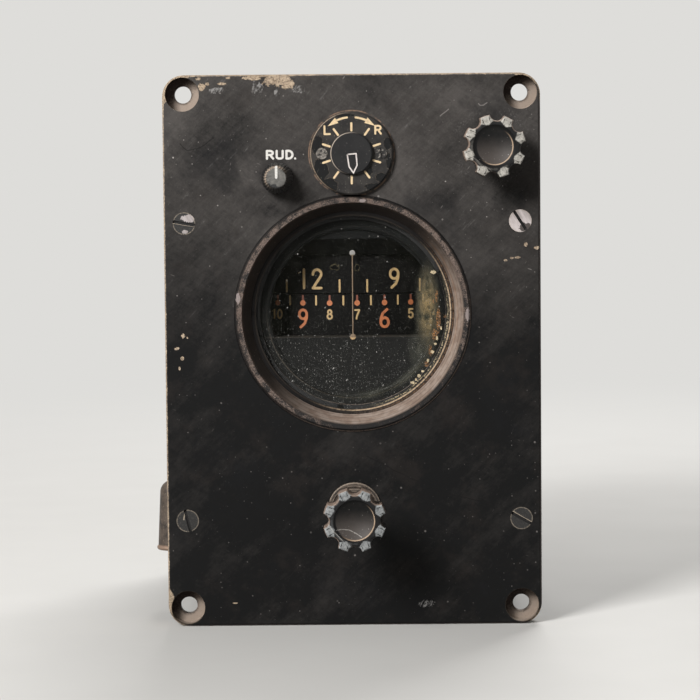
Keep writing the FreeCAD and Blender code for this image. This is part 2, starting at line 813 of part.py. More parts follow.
def make_caging_bushing():
    flange = front_y - caging_flange
    step = flange - caging_step
    round_off = caging_flange / 4
    groove = caging_groove / 2
    bush = turned_y([(0, step), (caging_step_r - caging_step / 2, step), (caging_step_r, flange),
                     (caging_groove_r - groove, flange), (caging_groove_r, flange + groove),
                     (caging_groove_r + groove, flange),
                     (caging_flange_r - round_off, flange), (caging_flange_r, flange + round_off),
                     (caging_flange_r, front_y), (caging_bush_r, front_y), (caging_bush_r, bush_behind),
                     (0, bush_behind)], 0, caging_z)
    return bush.cut(rod_y(knob_shaft_r + running_gap, step - 1, bush_behind + 1, 0, caging_z))


def make_caging_shaft():
    """The long shaft of the caging knob, with a collar on each side of the spool."""
    start = caging_front + knob_face_depth
    shaft = rod_y(knob_shaft_r, start, pinion_back_y, 0, caging_z)
    y0 = spool_y + spool_length + running_gap
    return shaft.fuse(rod_y(spool_root_r, y0, y0 + spool_flange, 0, caging_z)).removeSplitter()


def make_caging_pinion():
    y0 = pinion_back_y - pinion_width
    gear = toothed_disc(pinion_teeth, pinion_r, pinion_r - pinion_tooth, y0, pinion_back_y, 0, caging_z)
    relief = rod_y(pinion_r - 2 * pinion_tooth, y0 - 1, y0 + pinion_width / 2, 0, caging_z)
    relief = relief.cut(rod_y(spool_root_r + 1, y0 - 2, pinion_back_y, 0, caging_z))
    return gear.cut([relief, rod_y(knob_shaft_r, y0 - 1, pinion_back_y + 1, 0, caging_z)])


def make_caging_spool():
    y0 = spool_y
    y1 = spool_y + spool_length
    bore_r = knob_shaft_r + running_gap
    return turned_y([(bore_r, y0), (spool_r, y0), (spool_r, y0 + spool_flange),
                     (spool_root_r, y0 + spool_flange), (spool_root_r, y1 - spool_flange),
                     (spool_r, y1 - spool_flange), (spool_r, y1), (bore_r, y1)], 0, caging_z)


def make_caging_lever():
    """A forked lever whose prongs stand in the spool's groove, leaning forward at rest."""
    half = lever_thickness / 2
    gap = spool_root_r + fork_gap
    prong_top = caging_z + fork_reach
    arm_top = caging_z - spool_root_r - fork_gap - 1
    y0 = lever_y - half
    y1 = lever_y + half
    hub = rod_x(lever_hub_r, -lever_hub_width / 2, lever_hub_width / 2, lever_y, lever_pin_z)
    arm = box(-lever_hub_width / 2, lever_hub_width / 2, y0, y1, lever_pin_z, arm_top)
    yoke = box(-gap - fork_prong, gap + fork_prong, y0, y1, arm_top - fork_prong, prong_top)
    mouth = rod_y(gap, y0 - 1, y1 + 1, 0, caging_z)
    mouth = mouth.fuse(box(-gap, gap, y0 - 1, y1 + 1, caging_z, prong_top + 1))
    bore = rod_x(lever_pin_r + running_gap, -lever_hub_width, lever_hub_width, lever_y, lever_pin_z)
    lever = hub.fuse([arm, yoke]).cut([mouth, bore]).removeSplitter()
    lever.rotate(V(0, lever_y, lever_pin_z), V(1, 0, 0), lever_rest_tilt)
    return lever


def make_caging_bracket():
    """Two ears on a foot that stand on the case floor."""
    inner = lever_hub_width / 2 + lever_ear_gap
    outer = inner + lever_ear
    floor = -inner_top
    foot_half = lever_hub_r + lever_foot_margin
    foot = box(-outer, outer, lever_y - foot_half, lever_y + foot_half, floor,
               lever_pin_z - lever_hub_r - lever_ear_gap)
    ears = []
    for side in (-1, 1):
        x0 = min(side * inner, side * outer)
        ears.append(box(x0, x0 + lever_ear, lever_y - lever_hub_r, lever_y + lever_hub_r,
                        floor, lever_pin_z))
        ears.append(rod_x(lever_hub_r, x0, x0 + lever_ear, lever_y, lever_pin_z))
    bore = rod_x(lever_pin_r, -outer - 1, outer + 1, lever_y, lever_pin_z)
    return foot.fuse(ears).cut(bore).removeSplitter()


def make_caging_pivot_pin():
    reach = lever_hub_width / 2 + lever_ear_gap + lever_ear
    return rod_x(lever_pin_r, -reach, reach, lever_y, lever_pin_z)


def make_turn_dial():
    dial = turned_y([(0, dial_front), (dial_r - dial_bevel, dial_front), (dial_r, dial_front + dial_bevel),
                     (dial_r, front_y), (0, front_y)], 0, dial_z)
    cuts = [rod_y(pointer_bush_r, dial_front - 1, front_y + 1, 0, dial_z)]
    cuts += holes_y(dial_screw_places, dial_screw_r, dial_front - 1, dial_front + dial_thickness / 2)
    cuts += holes_y(dial_screw_places, dial_screw_r / 2, dial_front, front_y + 1)
    return dial.cut(cuts)


def make_dial_screws():
    screws = []
    for (x, z), turn in zip(dial_screw_places, dial_screw_turns):
        head_back = dial_front + dial_thickness / 2
        head = rod_y(dial_screw_r, dial_front - dial_screw_rise, head_back, x, z)
        slot = box(x - 2 * dial_screw_r, x + 2 * dial_screw_r, dial_front - 1,
                   dial_front + dial_screw_rise / 2, z - slot_width / 4, z + slot_width / 4)
        slot.rotate(V(x, 0, z), V(0, 1, 0), turn)
        shank = rod_y(dial_screw_r / 2, head_back, front_y + plate_skin, x, z)
        screws.append(head.cut(slot).fuse(shank))
    return screws


def make_pointer_disc():
    back = dial_front - pointer_gap
    front = back - pointer_thickness
    disc = turned_y([(0, front), (pointer_r - dial_bevel, front), (pointer_r, front + dial_bevel),
                     (pointer_r, back), (0, back)], 0, dial_z)
    return disc.cut(rod_y(pointer_shaft_r, front + pointer_thickness / 2, back + 1, 0, dial_z))


def make_pointer_spindle():
    front = dial_front - pointer_gap - pointer_thickness / 2
    clip_y = pointer_bush_back + running_gap
    spindle = rod_y(pointer_shaft_r, front, clip_y + 2 * pointer_clip, 0, dial_z)
    clip = rod_y(pointer_shaft_r + pointer_clip_width, clip_y, clip_y + pointer_clip, 0, dial_z)
    return spindle.fuse(clip).removeSplitter()


def make_pointer_bushing():
    bush = rod_y(pointer_bush_r, dial_front, pointer_bush_back, 0, dial_z)
    return bush.cut(rod_y(pointer_shaft_r + running_gap, dial_front - 1, 0, 0, dial_z))


def make_rudder_knob():
    """A small knob: a plain face, and ridges that widen down to a skirt."""
    back = front_y - rudder_gap
    front = front_y - rudder_reach
    knob = turned_y([(0, front), (rudder_face_r - dial_bevel, front), (rudder_face_r, front + dial_bevel),
                     (rudder_skirt_r, back - rudder_skirt), (rudder_skirt_r, back), (0, back)],
                    rudder_x, rudder_z)
    top = V(rudder_x + rudder_face_r + rudder_grip_r / 2, front + dial_bevel, rudder_z)
    foot = V(rudder_x + rudder_skirt_r + rudder_grip_r / 2, back - rudder_skirt, rudder_z)
    slope = foot - top
    grip = Part.makeCylinder(rudder_grip_r, slope.Length + 1, top - slope / slope.Length, slope)
    grip = grip.fuse(rod_y(rudder_grip_r, foot.y, back + 1, foot.x, foot.z))
    grips = around(grip, rudder_grips, V(rudder_x, 0, rudder_z), V(0, 1, 0))
    return knob.cut(grips + [rod_y(rudder_stem_r, front + rudder_socket, back + 1, rudder_x, rudder_z)])


def make_rudder_stem():
    """The valve stem, with a cone point that closes on the seat at the valve's far end."""
    start = front_y - rudder_reach + rudder_socket
    end = front_y + valve_length - valve_wall
    return turned_y([(0, start), (rudder_stem_r, start), (rudder_stem_r, end - rudder_stem_r),
                     (rudder_stem_r / 3, end), (0, end)], rudder_x, rudder_z)


def make_rudder_valve():
    end = front_y + valve_length
    bore_end = end - valve_wall + 0.5
    body = turned_y([(0, front_y), (valve_r, front_y), (valve_r, end), (0, end)], rudder_x, rudder_z)
    bore = rod_y(rudder_stem_r + running_gap, front_y - 1, bore_end, rudder_x, rudder_z)
    seat = rod_y(rudder_stem_r / 2, bore_end - 1, end + 1, rudder_x, rudder_z)
    port_start = V(rudder_x, bore_end - valve_wall, rudder_z)
    port = Part.makeCylinder(rudder_stem_r / 2, valve_r + 1, port_start, V(0, 0, -1))
    return body.cut([bore, seat, port])


def make_front_gasket():
    outer = rounded_slab(case_half, case_top, case_corner_r, 0, gasket_thickness)
    lugs = holes_y(plate_screw_places, boss_r, 0, gasket_thickness)
    inner = rounded_slab(inner_half, inner_top, inner_corner_r, -1, gasket_thickness + 1)
    inner = inner.cut(holes_y(plate_screw_places, boss_r, -2, 2))
    holes = holes_y(plate_screw_places, screw_shank_r + thread_gap, -1, 2)
    return outer.fuse(lugs).cut([inner] + holes).removeSplitter()


def make_case_shell():
    """A cast box open at both ends, with screw bosses and bearing seats."""
    outer = rounded_slab(case_half, case_top, case_corner_r, case_front_y, case_back_y)
    boss_end = case_front_y + front_boss_length
    bosses = holes_y(plate_screw_places, boss_r, case_front_y, boss_end)
    inner = rounded_slab(inner_half, inner_top, inner_corner_r, case_front_y - 1, case_back_y + 1)
    inner = inner.cut(holes_y(plate_screw_places, boss_r, case_front_y - 2, boss_end))
    inner = inner.cut(holes_y(rear_screw_places, rear_boss_r, case_back_y - rear_boss_length,
                              case_back_y + 2))
    housing = rod_z(housing_r, -inner_top, -inner_top + housing_height)
    shell = outer.fuse(bosses).cut(inner).fuse(housing)
    inner_end = front_y + screw_length
    holes = holes_y(plate_screw_places, screw_shank_r + thread_gap, case_front_y - 1, inner_end)
    holes += holes_y(rear_screw_places, small_shank_r + thread_gap, case_back_y - rear_hole_depth,
                     case_back_y + 1)
    holes.append(rod_z(post_r, inner_top - 1, case_top + 1))
    holes.append(rod_z(spindle_r + bearing_wall, -case_top - 1, -inner_top + housing_height + 1))
    holes += [rod_z(small_shank_r + thread_gap, inner_top - 1, case_top + 1, x, y)
              for x, y in post_screw_places()]
    holes.append(rod_x(inlet_stub_r, -case_half - 1, -inner_half + 1, inlet_y, inlet_z))
    holes.append(rod_z(nipple_r, -case_top - 1, -inner_top + 1, 0, nipple_y))
    return shell.cut(holes)


def post_screw_places():
    angles = [math.radians(a) for a in (30, 150, 270)]
    return [(post_screw_ring * math.cos(a), axis_y + post_screw_ring * math.sin(a)) for a in angles]


def make_rear_gasket():
    outer = rounded_slab(case_half, case_top, case_corner_r, case_back_y, cover_y)
    inner = rounded_slab(inner_half, inner_top, inner_corner_r, case_back_y - 1, cover_y + 1)
    inner = inner.cut(holes_y(rear_screw_places, rear_boss_r, case_back_y - 2, cover_y + 2))
    holes = holes_y(rear_screw_places, small_shank_r + thread_gap, case_back_y - 1, cover_y + 1)
    return outer.cut([inner] + holes)


def make_rear_cover():
    """A cast cover with a raised panel and upright ribs."""
    back = cover_y + cover_thickness
    cover = rounded_slab(case_half, case_top, case_corner_r, cover_y, back)
    cover = bevel_rim(cover, case_edge_bevel, back)
    panel = rounded_slab(case_half - cover_panel_inset, case_top - cover_panel_inset, case_corner_r,
                         back - 1, back + cover_panel_rise)
    panel = bevel_rim(panel, cover_panel_rise * 0.6, back + cover_panel_rise)
    hollow = rounded_slab(case_half - cover_panel_inset - case_wall,
                          case_top - cover_panel_inset - case_wall, inner_corner_r, cover_y - 1, back)
    rib_half = case_top - cover_panel_inset - case_corner_r
    ribs = [rounded_slab(cover_rib_width / 2, rib_half, cover_rib_width * 0.45, back + cover_panel_rise - 1,
                         back + cover_panel_rise + cover_rib_width / 3, i * cover_rib_spacing)
            for i in (-1, 0, 1)]
    holes = holes_y(rear_screw_places, small_shank_r + thread_gap, cover_y - 1, back + 1)
    return cover.fuse([panel] + ribs).cut([hollow] + holes)


def make_rear_cover_screws():
    base = cover_y + cover_thickness
    shank = cover_thickness + gasket_thickness + rear_screw_bite
    return [small_screw(V(x, base, z), V(0, 1, 0), shank) for x, z in rear_screw_places]


def make_bearing_post():
    """A flanged tube that hangs from the case roof and carries the upper gyro bearing."""
    flange_top = case_top + post_flange
    post = turned_z([(0, post_bottom), (post_r, post_bottom), (post_r, case_top),
                     (post_flange_r, case_top), (post_flange_r, flange_top - case_edge_bevel),
                     (post_flange_r - case_edge_bevel, flange_top), (0, flange_top)])
    seat = rod_z(spindle_r + bearing_wall, post_bottom - 1, post_bottom + bearing_length)
    bore = rod_z(spindle_r + 1, post_bottom, post_bottom + 3 * bearing_length)
    holes = [rod_z(small_shank_r + thread_gap, case_top - 1, case_top + post_flange + 1, x, y)
             for x, y in post_screw_places()]
    return post.cut([seat, bore] + holes)


def make_post_screws():
    return [small_screw(V(x, y, case_top + post_flange), V(0, 0, 1), post_flange + case_wall - 0.5)
            for x, y in post_screw_places()]


def race(z0, z1):
    """A plain-bored race with a groove round its outside."""
    r = spindle_r + bearing_wall
    bore_r = spindle_r + running_gap
    third = (z1 - z0) / 3
    return turned_z([(bore_r, z0), (r, z0), (r, z0 + third), (r - race_groove, z0 + 1.3 * third),
                     (r - race_groove, z0 + 1.7 * third), (r, z0 + 2 * third), (r, z1), (bore_r, z1)])


def make_azimuth_bearings():
    upper = race(post_bottom, post_bottom + bearing_length)
    lower = race(-inner_top, -inner_top + housing_height)
    return [upper, lower]


def make_lower_bearing_cap():
    """A closed cap under the case, whose plug stands under the lower bearing."""
    under = -case_top
    bore = spindle_r + bearing_wall
    return turned_z([(0, under - cap_height), (cap_r - case_edge_bevel, under - cap_height),
                     (cap_r, under - cap_height + case_edge_bevel), (cap_r, under), (bore, under),
                     (bore, -inner_top), (0, -inner_top)])


def make_thrust_collar():
    z1 = spider_z - spoke_thickness - running_gap
    z0 = z1 - collar_height
    return turned_z([(post_r, z0), (collar_r, z0), (collar_r, z1), (post_r, z1)])


def make_vertical_ring():
    """The outer gimbal: an upright frame with rounded corners that turns with the compass card."""
    y0 = axis_y - ring_depth / 2
    y1 = axis_y + ring_depth / 2
    outer = rounded_slab(ring_half_x, ring_half_z, ring_corner_r, y0, y1, 0, gyro_z)
    inner = rounded_slab(ring_half_x - ring_bar, ring_half_z - ring_bar, ring_corner_r - ring_bar,
                         y0 - 1, y1 + 1, 0, gyro_z)
    ring = outer.cut(inner)
    eyes = [rod_x(ring_depth / 2, x, x + ring_bar, axis_y, gyro_z)
            for x in (-ring_half_x, ring_half_x - ring_bar)]
    holes = [rod_x(pivot_screw_r, -ring_half_x - 1, ring_half_x + 1, axis_y, gyro_z),
             rod_z(spindle_r, ring_top - ring_bar, ring_top + 1),
             rod_z(spindle_r, ring_bottom - 1, ring_bottom + ring_bar)]
    holes += [rod_z(nozzle_r, ring_bottom + ring_bar - 2, ring_bottom + ring_bar + 1, x, axis_y)
              for x in (-nozzle_spread, nozzle_spread)]
    return ring.fuse(eyes).cut(holes).removeSplitter()


def make_azimuth_spindles():
    upper = rod_z(spindle_r, ring_top - ring_bar, post_bottom + bearing_length)
    lower = rod_z(spindle_r, -inner_top + running_gap, ring_bottom + ring_bar)
    return [upper, lower]


def make_synchroniser_gear():
    """A spoked crown wheel under the vertical ring, its teeth upward."""
    z0 = ring_bottom - gear_web
    rim_in = gear_r - gear_tooth_width
    rim = turned_z([(rim_in - gear_shelf, z0), (gear_r, z0), (gear_r, gear_top), (rim_in, gear_top),
                    (rim_in, ring_bottom), (rim_in - gear_shelf, ring_bottom)])
    slot_half = math.pi * gear_r / gear_teeth / 2
    slot = box(rim_in - 1, gear_r + 1, axis_y - slot_half, axis_y + slot_half,
               ring_bottom + gear_root, gear_top + 1)
    hub = rod_z(ring_depth, z0, ring_bottom)
    arm = box(ring_depth - 1, rim_in - 1, axis_y - spoke_width / 2, axis_y + spoke_width / 2,
              z0, ring_bottom)
    centre = V(0, axis_y, 0)
    gear = rim.fuse([hub] + around(arm, gear_spokes, centre, V(0, 0, 1))).removeSplitter()
    bore = rod_z(spindle_r, z0 - 1, ring_bottom + 1)
    return gear.cut(around(slot, gear_teeth, centre, V(0, 0, 1)) + [bore])


def make_gimbal_pivots():
    """Two headless screws in the vertical ring, each with a plain pin that the gimbal hangs on."""
    pins = []
    for side in (-1, 1):
        outer = ring_half_x + pivot_proud
        shoulder = gimbal_half_x + pivot_shoulder_gap
        tip = gimbal_half_x - gimbal_bar + pivot_tip_gap
        body = rod_x(pivot_screw_r, shoulder, outer, axis_y, gyro_z)
        pin = rod_x(gimbal_pin_r, tip, shoulder, axis_y, gyro_z)
        slot = box(outer - slot_depth, outer + 1, axis_y - slot_width / 2, axis_y + slot_width / 2,
                   gyro_z - 2 * pivot_screw_r, gyro_z + 2 * pivot_screw_r)
        piece = body.fuse(pin).cut(slot)
        if side < 0:
            piece = piece.mirror(V(0, 0, 0), V(1, 0, 0))
        pins.append(piece)
    return pins


def make_air_nozzles():
    """Two slanted jets on the bottom of the vertical ring, either side of the rotor."""
    jets = []
    base_z = ring_bottom + ring_bar
    for side in (-1, 1):
        tube = rod_z(nozzle_r, base_z - 2, base_z + nozzle_height, side * nozzle_spread, axis_y)
        collar = rod_z(nozzle_r + 1.2, base_z, base_z + 1.5, side * nozzle_spread, axis_y)
        bore = rod_z(nozzle_r / 2, base_z - 1, base_z + nozzle_height + 1, side * nozzle_spread, axis_y)
        jets.append(tube.fuse(collar).cut(bore).removeSplitter())
    return jets


def make_gimbal_ring():
    """The inner gimbal: a level frame round the rotor."""
    half_h = gimbal_height / 2
    frame = box(-gimbal_half_x, gimbal_half_x, axis_y - gimbal_half_y, axis_y + gimbal_half_y,
                gyro_z - half_h, gyro_z + half_h)
    room = box(-gimbal_half_x + gimbal_bar, gimbal_half_x - gimbal_bar, axis_y - gimbal_half_y + gimbal_bar,
               axis_y + gimbal_half_y - gimbal_bar, gyro_z - half_h - 1, gyro_z + half_h + 1)
    upright = [e for e in frame.Edges if abs(e.tangentAt(e.FirstParameter).z) > 0.99]
    frame = frame.makeFillet(gimbal_bar, upright)
    seat = shaft_r + bearing_wall
    holes = [rod_y(seat, axis_y - gimbal_half_y - 1, axis_y + gimbal_half_y + 1, 0, gyro_z),
             rod_x(gimbal_pin_r + bearing_wall, -gimbal_half_x - 1, gimbal_half_x + 1, axis_y, gyro_z)]
    return frame.cut([room] + holes)


def make_gimbal_bearings():
    races = []
    for x0 in (-gimbal_half_x, gimbal_half_x - gimbal_bar):
        sleeve = rod_x(gimbal_pin_r + bearing_wall, x0, x0 + gimbal_bar, axis_y, gyro_z)
        bore = rod_x(gimbal_pin_r + running_gap, x0 - 1, x0 + gimbal_bar + 1, axis_y, gyro_z)
        races.append(sleeve.cut(bore))
    return races


def make_rotor_bearings():
    races = []
    for y0 in (axis_y - gimbal_half_y, axis_y + gimbal_half_y - gimbal_bar):
        sleeve = rod_y(shaft_r + bearing_wall, y0, y0 + gimbal_bar, 0, gyro_z)
        races.append(sleeve.cut(rod_y(shaft_r + running_gap, y0 - 1, y0 + gimbal_bar + 1, 0, gyro_z)))
    return races


def make_balance_nuts():
    """Trim nuts on short studs, over the gimbal's front and back bars."""
    nuts = []
    for side in (-1, 1):
        y = axis_y + side * (gimbal_half_y - gimbal_bar / 2)
        x = side * (gimbal_half_x - 3 * gimbal_bar)
        top = gyro_z + gimbal_height / 2
        stud = rod_z(balance_stud_r, top, top + balance_stud, x, y)
        nut = rod_z(balance_r, top + 1, top + 1 + balance_height, x, y)
        nuts.append(stud.fuse(nut).removeSplitter())
    return nuts


def make_rotor():
    """A heavy-rimmed wheel with air buckets cut in its rim."""
    half = rotor_width / 2
    web = rotor_web / 2
    profile = [(shaft_r, axis_y - half), (rotor_hub_r, axis_y - half), (rotor_hub_r + 1, axis_y - web),
               (rotor_r - rotor_rim - 1, axis_y - web), (rotor_r - rotor_rim, axis_y - half),
               (rotor_r, axis_y - half), (rotor_r, axis_y + half), (rotor_r - rotor_rim, axis_y + half),
               (rotor_r - rotor_rim - 1, axis_y + web), (rotor_hub_r + 1, axis_y + web),
               (rotor_hub_r, axis_y + half), (shaft_r, axis_y + half)]
    wheel = turned_y(profile, 0, gyro_z)
    bucket = box(rotor_r - bucket_depth, rotor_r + 1, axis_y - bucket_length / 2,
                 axis_y + bucket_length / 2, gyro_z - bucket_width / 2, gyro_z + bucket_width / 2)
    return wheel.cut(around(bucket, bucket_count, V(0, 0, gyro_z), V(0, 1, 0)))


def make_rotor_shaft():
    reach = gimbal_half_y - rotor_shaft_inset
    return rod_y(shaft_r, axis_y - reach, axis_y + reach, 0, gyro_z)


def make_inlet_elbow():
    """A tapered sleeve with a round head and a rolled lip, on a stub through the case side."""
    mouth_z = inlet_z - inlet_drop
    top_in = inlet_top_r - inlet_wall
    mouth_in = inlet_mouth_r - inlet_wall
    sleeve = Part.makeCone(inlet_mouth_r, inlet_top_r, inlet_drop, V(inlet_x, inlet_y, mouth_z))
    head = Part.makeSphere(inlet_top_r, V(inlet_x, inlet_y, inlet_z))
    lip = Part.makeTorus(inlet_mouth_r - inlet_lip_r / 2, inlet_lip_r, V(inlet_x, inlet_y, mouth_z))
    stub = rod_x(inlet_stub_r, inlet_x, -inner_half, inlet_y, inlet_z)
    nut = rod_x(inlet_nut_r, -case_half - inlet_nut, -case_half, inlet_y, inlet_z)
    hollow = Part.makeCone(mouth_in, top_in, inlet_drop, V(inlet_x, inlet_y, mouth_z))
    mouth = rod_z(mouth_in - 0.01, mouth_z - 3, mouth_z, inlet_x, inlet_y)
    bore = rod_x(inlet_stub_r - inlet_wall, inlet_x, -inner_half + 1, inlet_y, inlet_z)
    return sleeve.fuse([head, lip, stub, nut]).cut([hollow, mouth, bore])


def make_inlet_screen():
    z1 = inlet_z - inlet_drop + 1.5
    disc = rod_z(inlet_mouth_r - inlet_wall - 0.12, z1 - screen_thickness, z1, inlet_x, inlet_y)
    hole = rod_z(screen_hole_r, z1 - 2, z1 + 1, inlet_x + screen_ring, inlet_y)
    holes = around(hole, screen_holes, V(inlet_x, inlet_y, 0), V(0, 0, 1))
    return disc.cut(holes + [rod_z(screen_hole_r, z1 - 2, z1 + 1, inlet_x, inlet_y)])


def make_vacuum_nipple():
    """A hexagonal shoulder with a plain hose nipple that points down from the case floor."""
    under = -case_top
    angles = [math.radians(60 * i) for i in range(6)]
    corners = [V(nipple_hex_r * math.cos(a), nipple_y + nipple_hex_r * math.sin(a), under)
               for a in angles]
    shoulder = Part.Face(Part.makePolygon(corners + corners[:1])).extrude(V(0, 0, -nipple_hex))
    tail = rod_z(nipple_r, under, under + nipple_tail, 0, nipple_y)
    tube = rod_z(nipple_r, under - nipple_hex - nipple_length, under - nipple_hex, 0, nipple_y)
    bore = rod_z(nipple_bore, under - nipple_hex - nipple_length - 1, under + nipple_tail + 1, 0, nipple_y)
    return shoulder.fuse([tail, tube]).cut(bore)


os.makedirs("parts", exist_ok=True)


def save(name, made):
    shape = Part.makeCompound(made) if isinstance(made, list) else made
    if len(shape.Solids) == 1:
        shape = shape.Solids[0]
    print(name, len(shape.Solids), shape.isValid(), round(shape.Volume, 1))
    shape.exportStep("parts/" + name + ".step")


save("face_plate", make_face_plate())
save("plate_screws", make_plate_screws())
save("bezel_ring", make_bezel_ring())
save("bezel_nut", make_bezel_nut())
save("glass_retaining_ring", make_retaining_ring())
save("window_glass", make_window_glass())
save("glass_gasket", make_glass_gasket())
save("dial_mask", make_dial_mask())
save("mask_screws", make_mask_screws())
save("lubber_line", make_lubber_line())
save("compass_card", make_compass_card())
save("card_carrier", make_card_carrier())
save("follow_up_card", make_follow_up_card())
save("follow_up_spider", make_follow_up_spider())
save("worm_wheel", make_worm_wheel())
save("course_worm", make_course_worm())
save("course_shaft", make_course_shaft())
save("course_knob", lobed_knob(course_x, course_z, course_front, course_turn))
save("course_set_screw", make_knob_set_screw(course_x, course_z, course_front))
save("course_bushing", make_course_bushing())
save("worm_bracket", make_worm_bracket())
save("caging_knob", lobed_knob(0, caging_z, caging_front, caging_turn))
save("caging_set_screw", make_knob_set_screw(0, caging_z, caging_front))
save("caging_bushing", make_caging_bushing())
save("caging_shaft", make_caging_shaft())
save("caging_pinion", make_caging_pinion())
save("caging_spool", make_caging_spool())
save("caging_lever", make_caging_lever())
save("caging_bracket", make_caging_bracket())
save("caging_pivot_pin", make_caging_pivot_pin())
save("turn_dial", make_turn_dial())
save("dial_screws", make_dial_screws())
save("pointer_disc", make_pointer_disc())
save("pointer_spindle", make_pointer_spindle())
save("pointer_bushing", make_pointer_bushing())
save("rudder_knob", make_rudder_knob())
save("rudder_stem", make_rudder_stem())
save("rudder_valve", make_rudder_valve())
save("case_gaskets", [make_front_gasket(), make_rear_gasket()])
save("case_shell", make_case_shell())
save("rear_cover", make_rear_cover())
save("bearing_post", make_bearing_post())
save("case_screws", make_rear_cover_screws() + make_post_screws())
save("azimuth_bearings", make_azimuth_bearings())
save("lower_bearing_cap", make_lower_bearing_cap())
save("thrust_collar", make_thrust_collar())
save("vertical_ring", make_vertical_ring())
save("azimuth_spindles", make_azimuth_spindles())
save("synchroniser_gear", make_synchroniser_gear())
save("gimbal_pivots", make_gimbal_pivots())
save("air_nozzles", make_air_nozzles())
save("gimbal_ring", make_gimbal_ring())
save("gimbal_bearings", make_gimbal_bearings() + make_rotor_bearings())
save("balance_nuts", make_balance_nuts())
save("rotor", make_rotor())
save("rotor_shaft", make_rotor_shaft())
save("inlet_elbow", make_inlet_elbow())
save("inlet_screen", make_inlet_screen())
save("vacuum_nipple", make_vacuum_nipple())
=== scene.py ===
import bpy
import json
import math
from mathutils import Matrix, Vector


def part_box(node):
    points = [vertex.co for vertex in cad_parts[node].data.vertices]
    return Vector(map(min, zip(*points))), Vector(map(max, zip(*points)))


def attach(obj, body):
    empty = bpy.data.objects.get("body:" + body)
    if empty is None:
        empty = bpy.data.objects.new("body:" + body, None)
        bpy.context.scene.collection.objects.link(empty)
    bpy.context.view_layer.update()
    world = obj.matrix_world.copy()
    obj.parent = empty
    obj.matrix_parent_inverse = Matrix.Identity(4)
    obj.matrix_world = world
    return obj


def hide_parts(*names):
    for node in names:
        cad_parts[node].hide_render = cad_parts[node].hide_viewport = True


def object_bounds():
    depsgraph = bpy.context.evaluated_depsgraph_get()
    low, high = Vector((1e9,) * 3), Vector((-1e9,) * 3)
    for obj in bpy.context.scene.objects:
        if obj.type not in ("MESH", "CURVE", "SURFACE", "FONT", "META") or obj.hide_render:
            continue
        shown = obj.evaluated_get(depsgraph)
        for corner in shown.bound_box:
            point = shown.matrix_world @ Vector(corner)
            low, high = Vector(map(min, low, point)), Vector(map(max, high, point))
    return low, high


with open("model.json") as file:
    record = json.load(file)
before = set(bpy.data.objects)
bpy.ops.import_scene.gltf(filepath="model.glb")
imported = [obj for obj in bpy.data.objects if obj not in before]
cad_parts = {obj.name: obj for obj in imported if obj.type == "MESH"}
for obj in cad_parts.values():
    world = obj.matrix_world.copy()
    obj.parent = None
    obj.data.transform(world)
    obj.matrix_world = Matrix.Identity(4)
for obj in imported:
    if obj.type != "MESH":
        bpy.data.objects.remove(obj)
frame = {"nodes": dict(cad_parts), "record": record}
cadLow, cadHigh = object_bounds()
nodes = frame["nodes"]
mm = 0.001
print("frame loaded:", len(nodes), "nodes")


def tone(red, green, blue):
    # a screen colour, 0 to 255, as the linear colour that a shader wants
    return tuple(c / 255 / 12.92 if c < 11 else ((c / 255 + 0.055) / 1.055) ** 2.4
                 for c in (red, green, blue))


def dimmed(colour, share):
    return tuple(c * share for c in colour)


def middleOf(node):
    low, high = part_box(node)
    return (low + high) / 2 / mm


def halfOf(node):
    low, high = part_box(node)
    return (high - low) / 2 / mm


def frontOf(node):
    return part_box(node)[0].y / mm


# Places read from the frame, in millimetres
plateHalf = halfOf("face_plate")
plateFront = frontOf("face_plate")
bezelMid = middleOf("bezel_ring")
bezelRadius = halfOf("bezel_ring").x
dialMid = middleOf("turn_dial")
dialRadius = halfOf("turn_dial").x
rudderMid = middleOf("rudder_knob")
cardMid = middleOf("compass_card")
cardRadius = halfOf("compass_card").x
panelHoles = next(m for m in frame["record"]["mounts"] if m["name"] == "panel_holes")
holeX = panelHoles["dims"]["spacing_x_mm"] / 2
holeZ = panelHoles["dims"]["spacing_y_mm"] / 2


# Shader maths: a socket can be added, multiplied and so on, and each operator adds a Math node
def mathNode(kind, turned=False):
    def work(self, *others):
        values = (*others, self) if turned else (self, *others)
        return self.finish.calc(kind, *values)
    return work


class Sock:
    __add__ = mathNode("ADD")
    __radd__ = mathNode("ADD", True)
    __sub__ = mathNode("SUBTRACT")
    __rsub__ = mathNode("SUBTRACT", True)
    __mul__ = mathNode("MULTIPLY")
    __rmul__ = mathNode("MULTIPLY", True)
    __truediv__ = mathNode("DIVIDE")
    __pow__ = mathNode("POWER")
    __abs__ = mathNode("ABSOLUTE")
    least = mathNode("MINIMUM")
    most = mathNode("MAXIMUM")
    root = mathNode("SQRT")
    sign = mathNode("SIGN")

    def __init__(self, finish, output):
        self.finish = finish
        self.output = output

    def fade(self, low, high):
        # 0 at low and 1 at high with a soft step between; low may be the larger
        return self.finish.node("ShaderNodeMapRange", {"interpolation_type": "SMOOTHSTEP"},
                                {"Value": self, "From Min": low, "From Max": high})

    def near(self, value, reach):
        # 1 at the value, falling softly to 0 at that reach from it
        return abs(self - value).fade(reach, 0)

    def other(self, name):
        return Sock(self.finish, self.output.node.outputs[name])


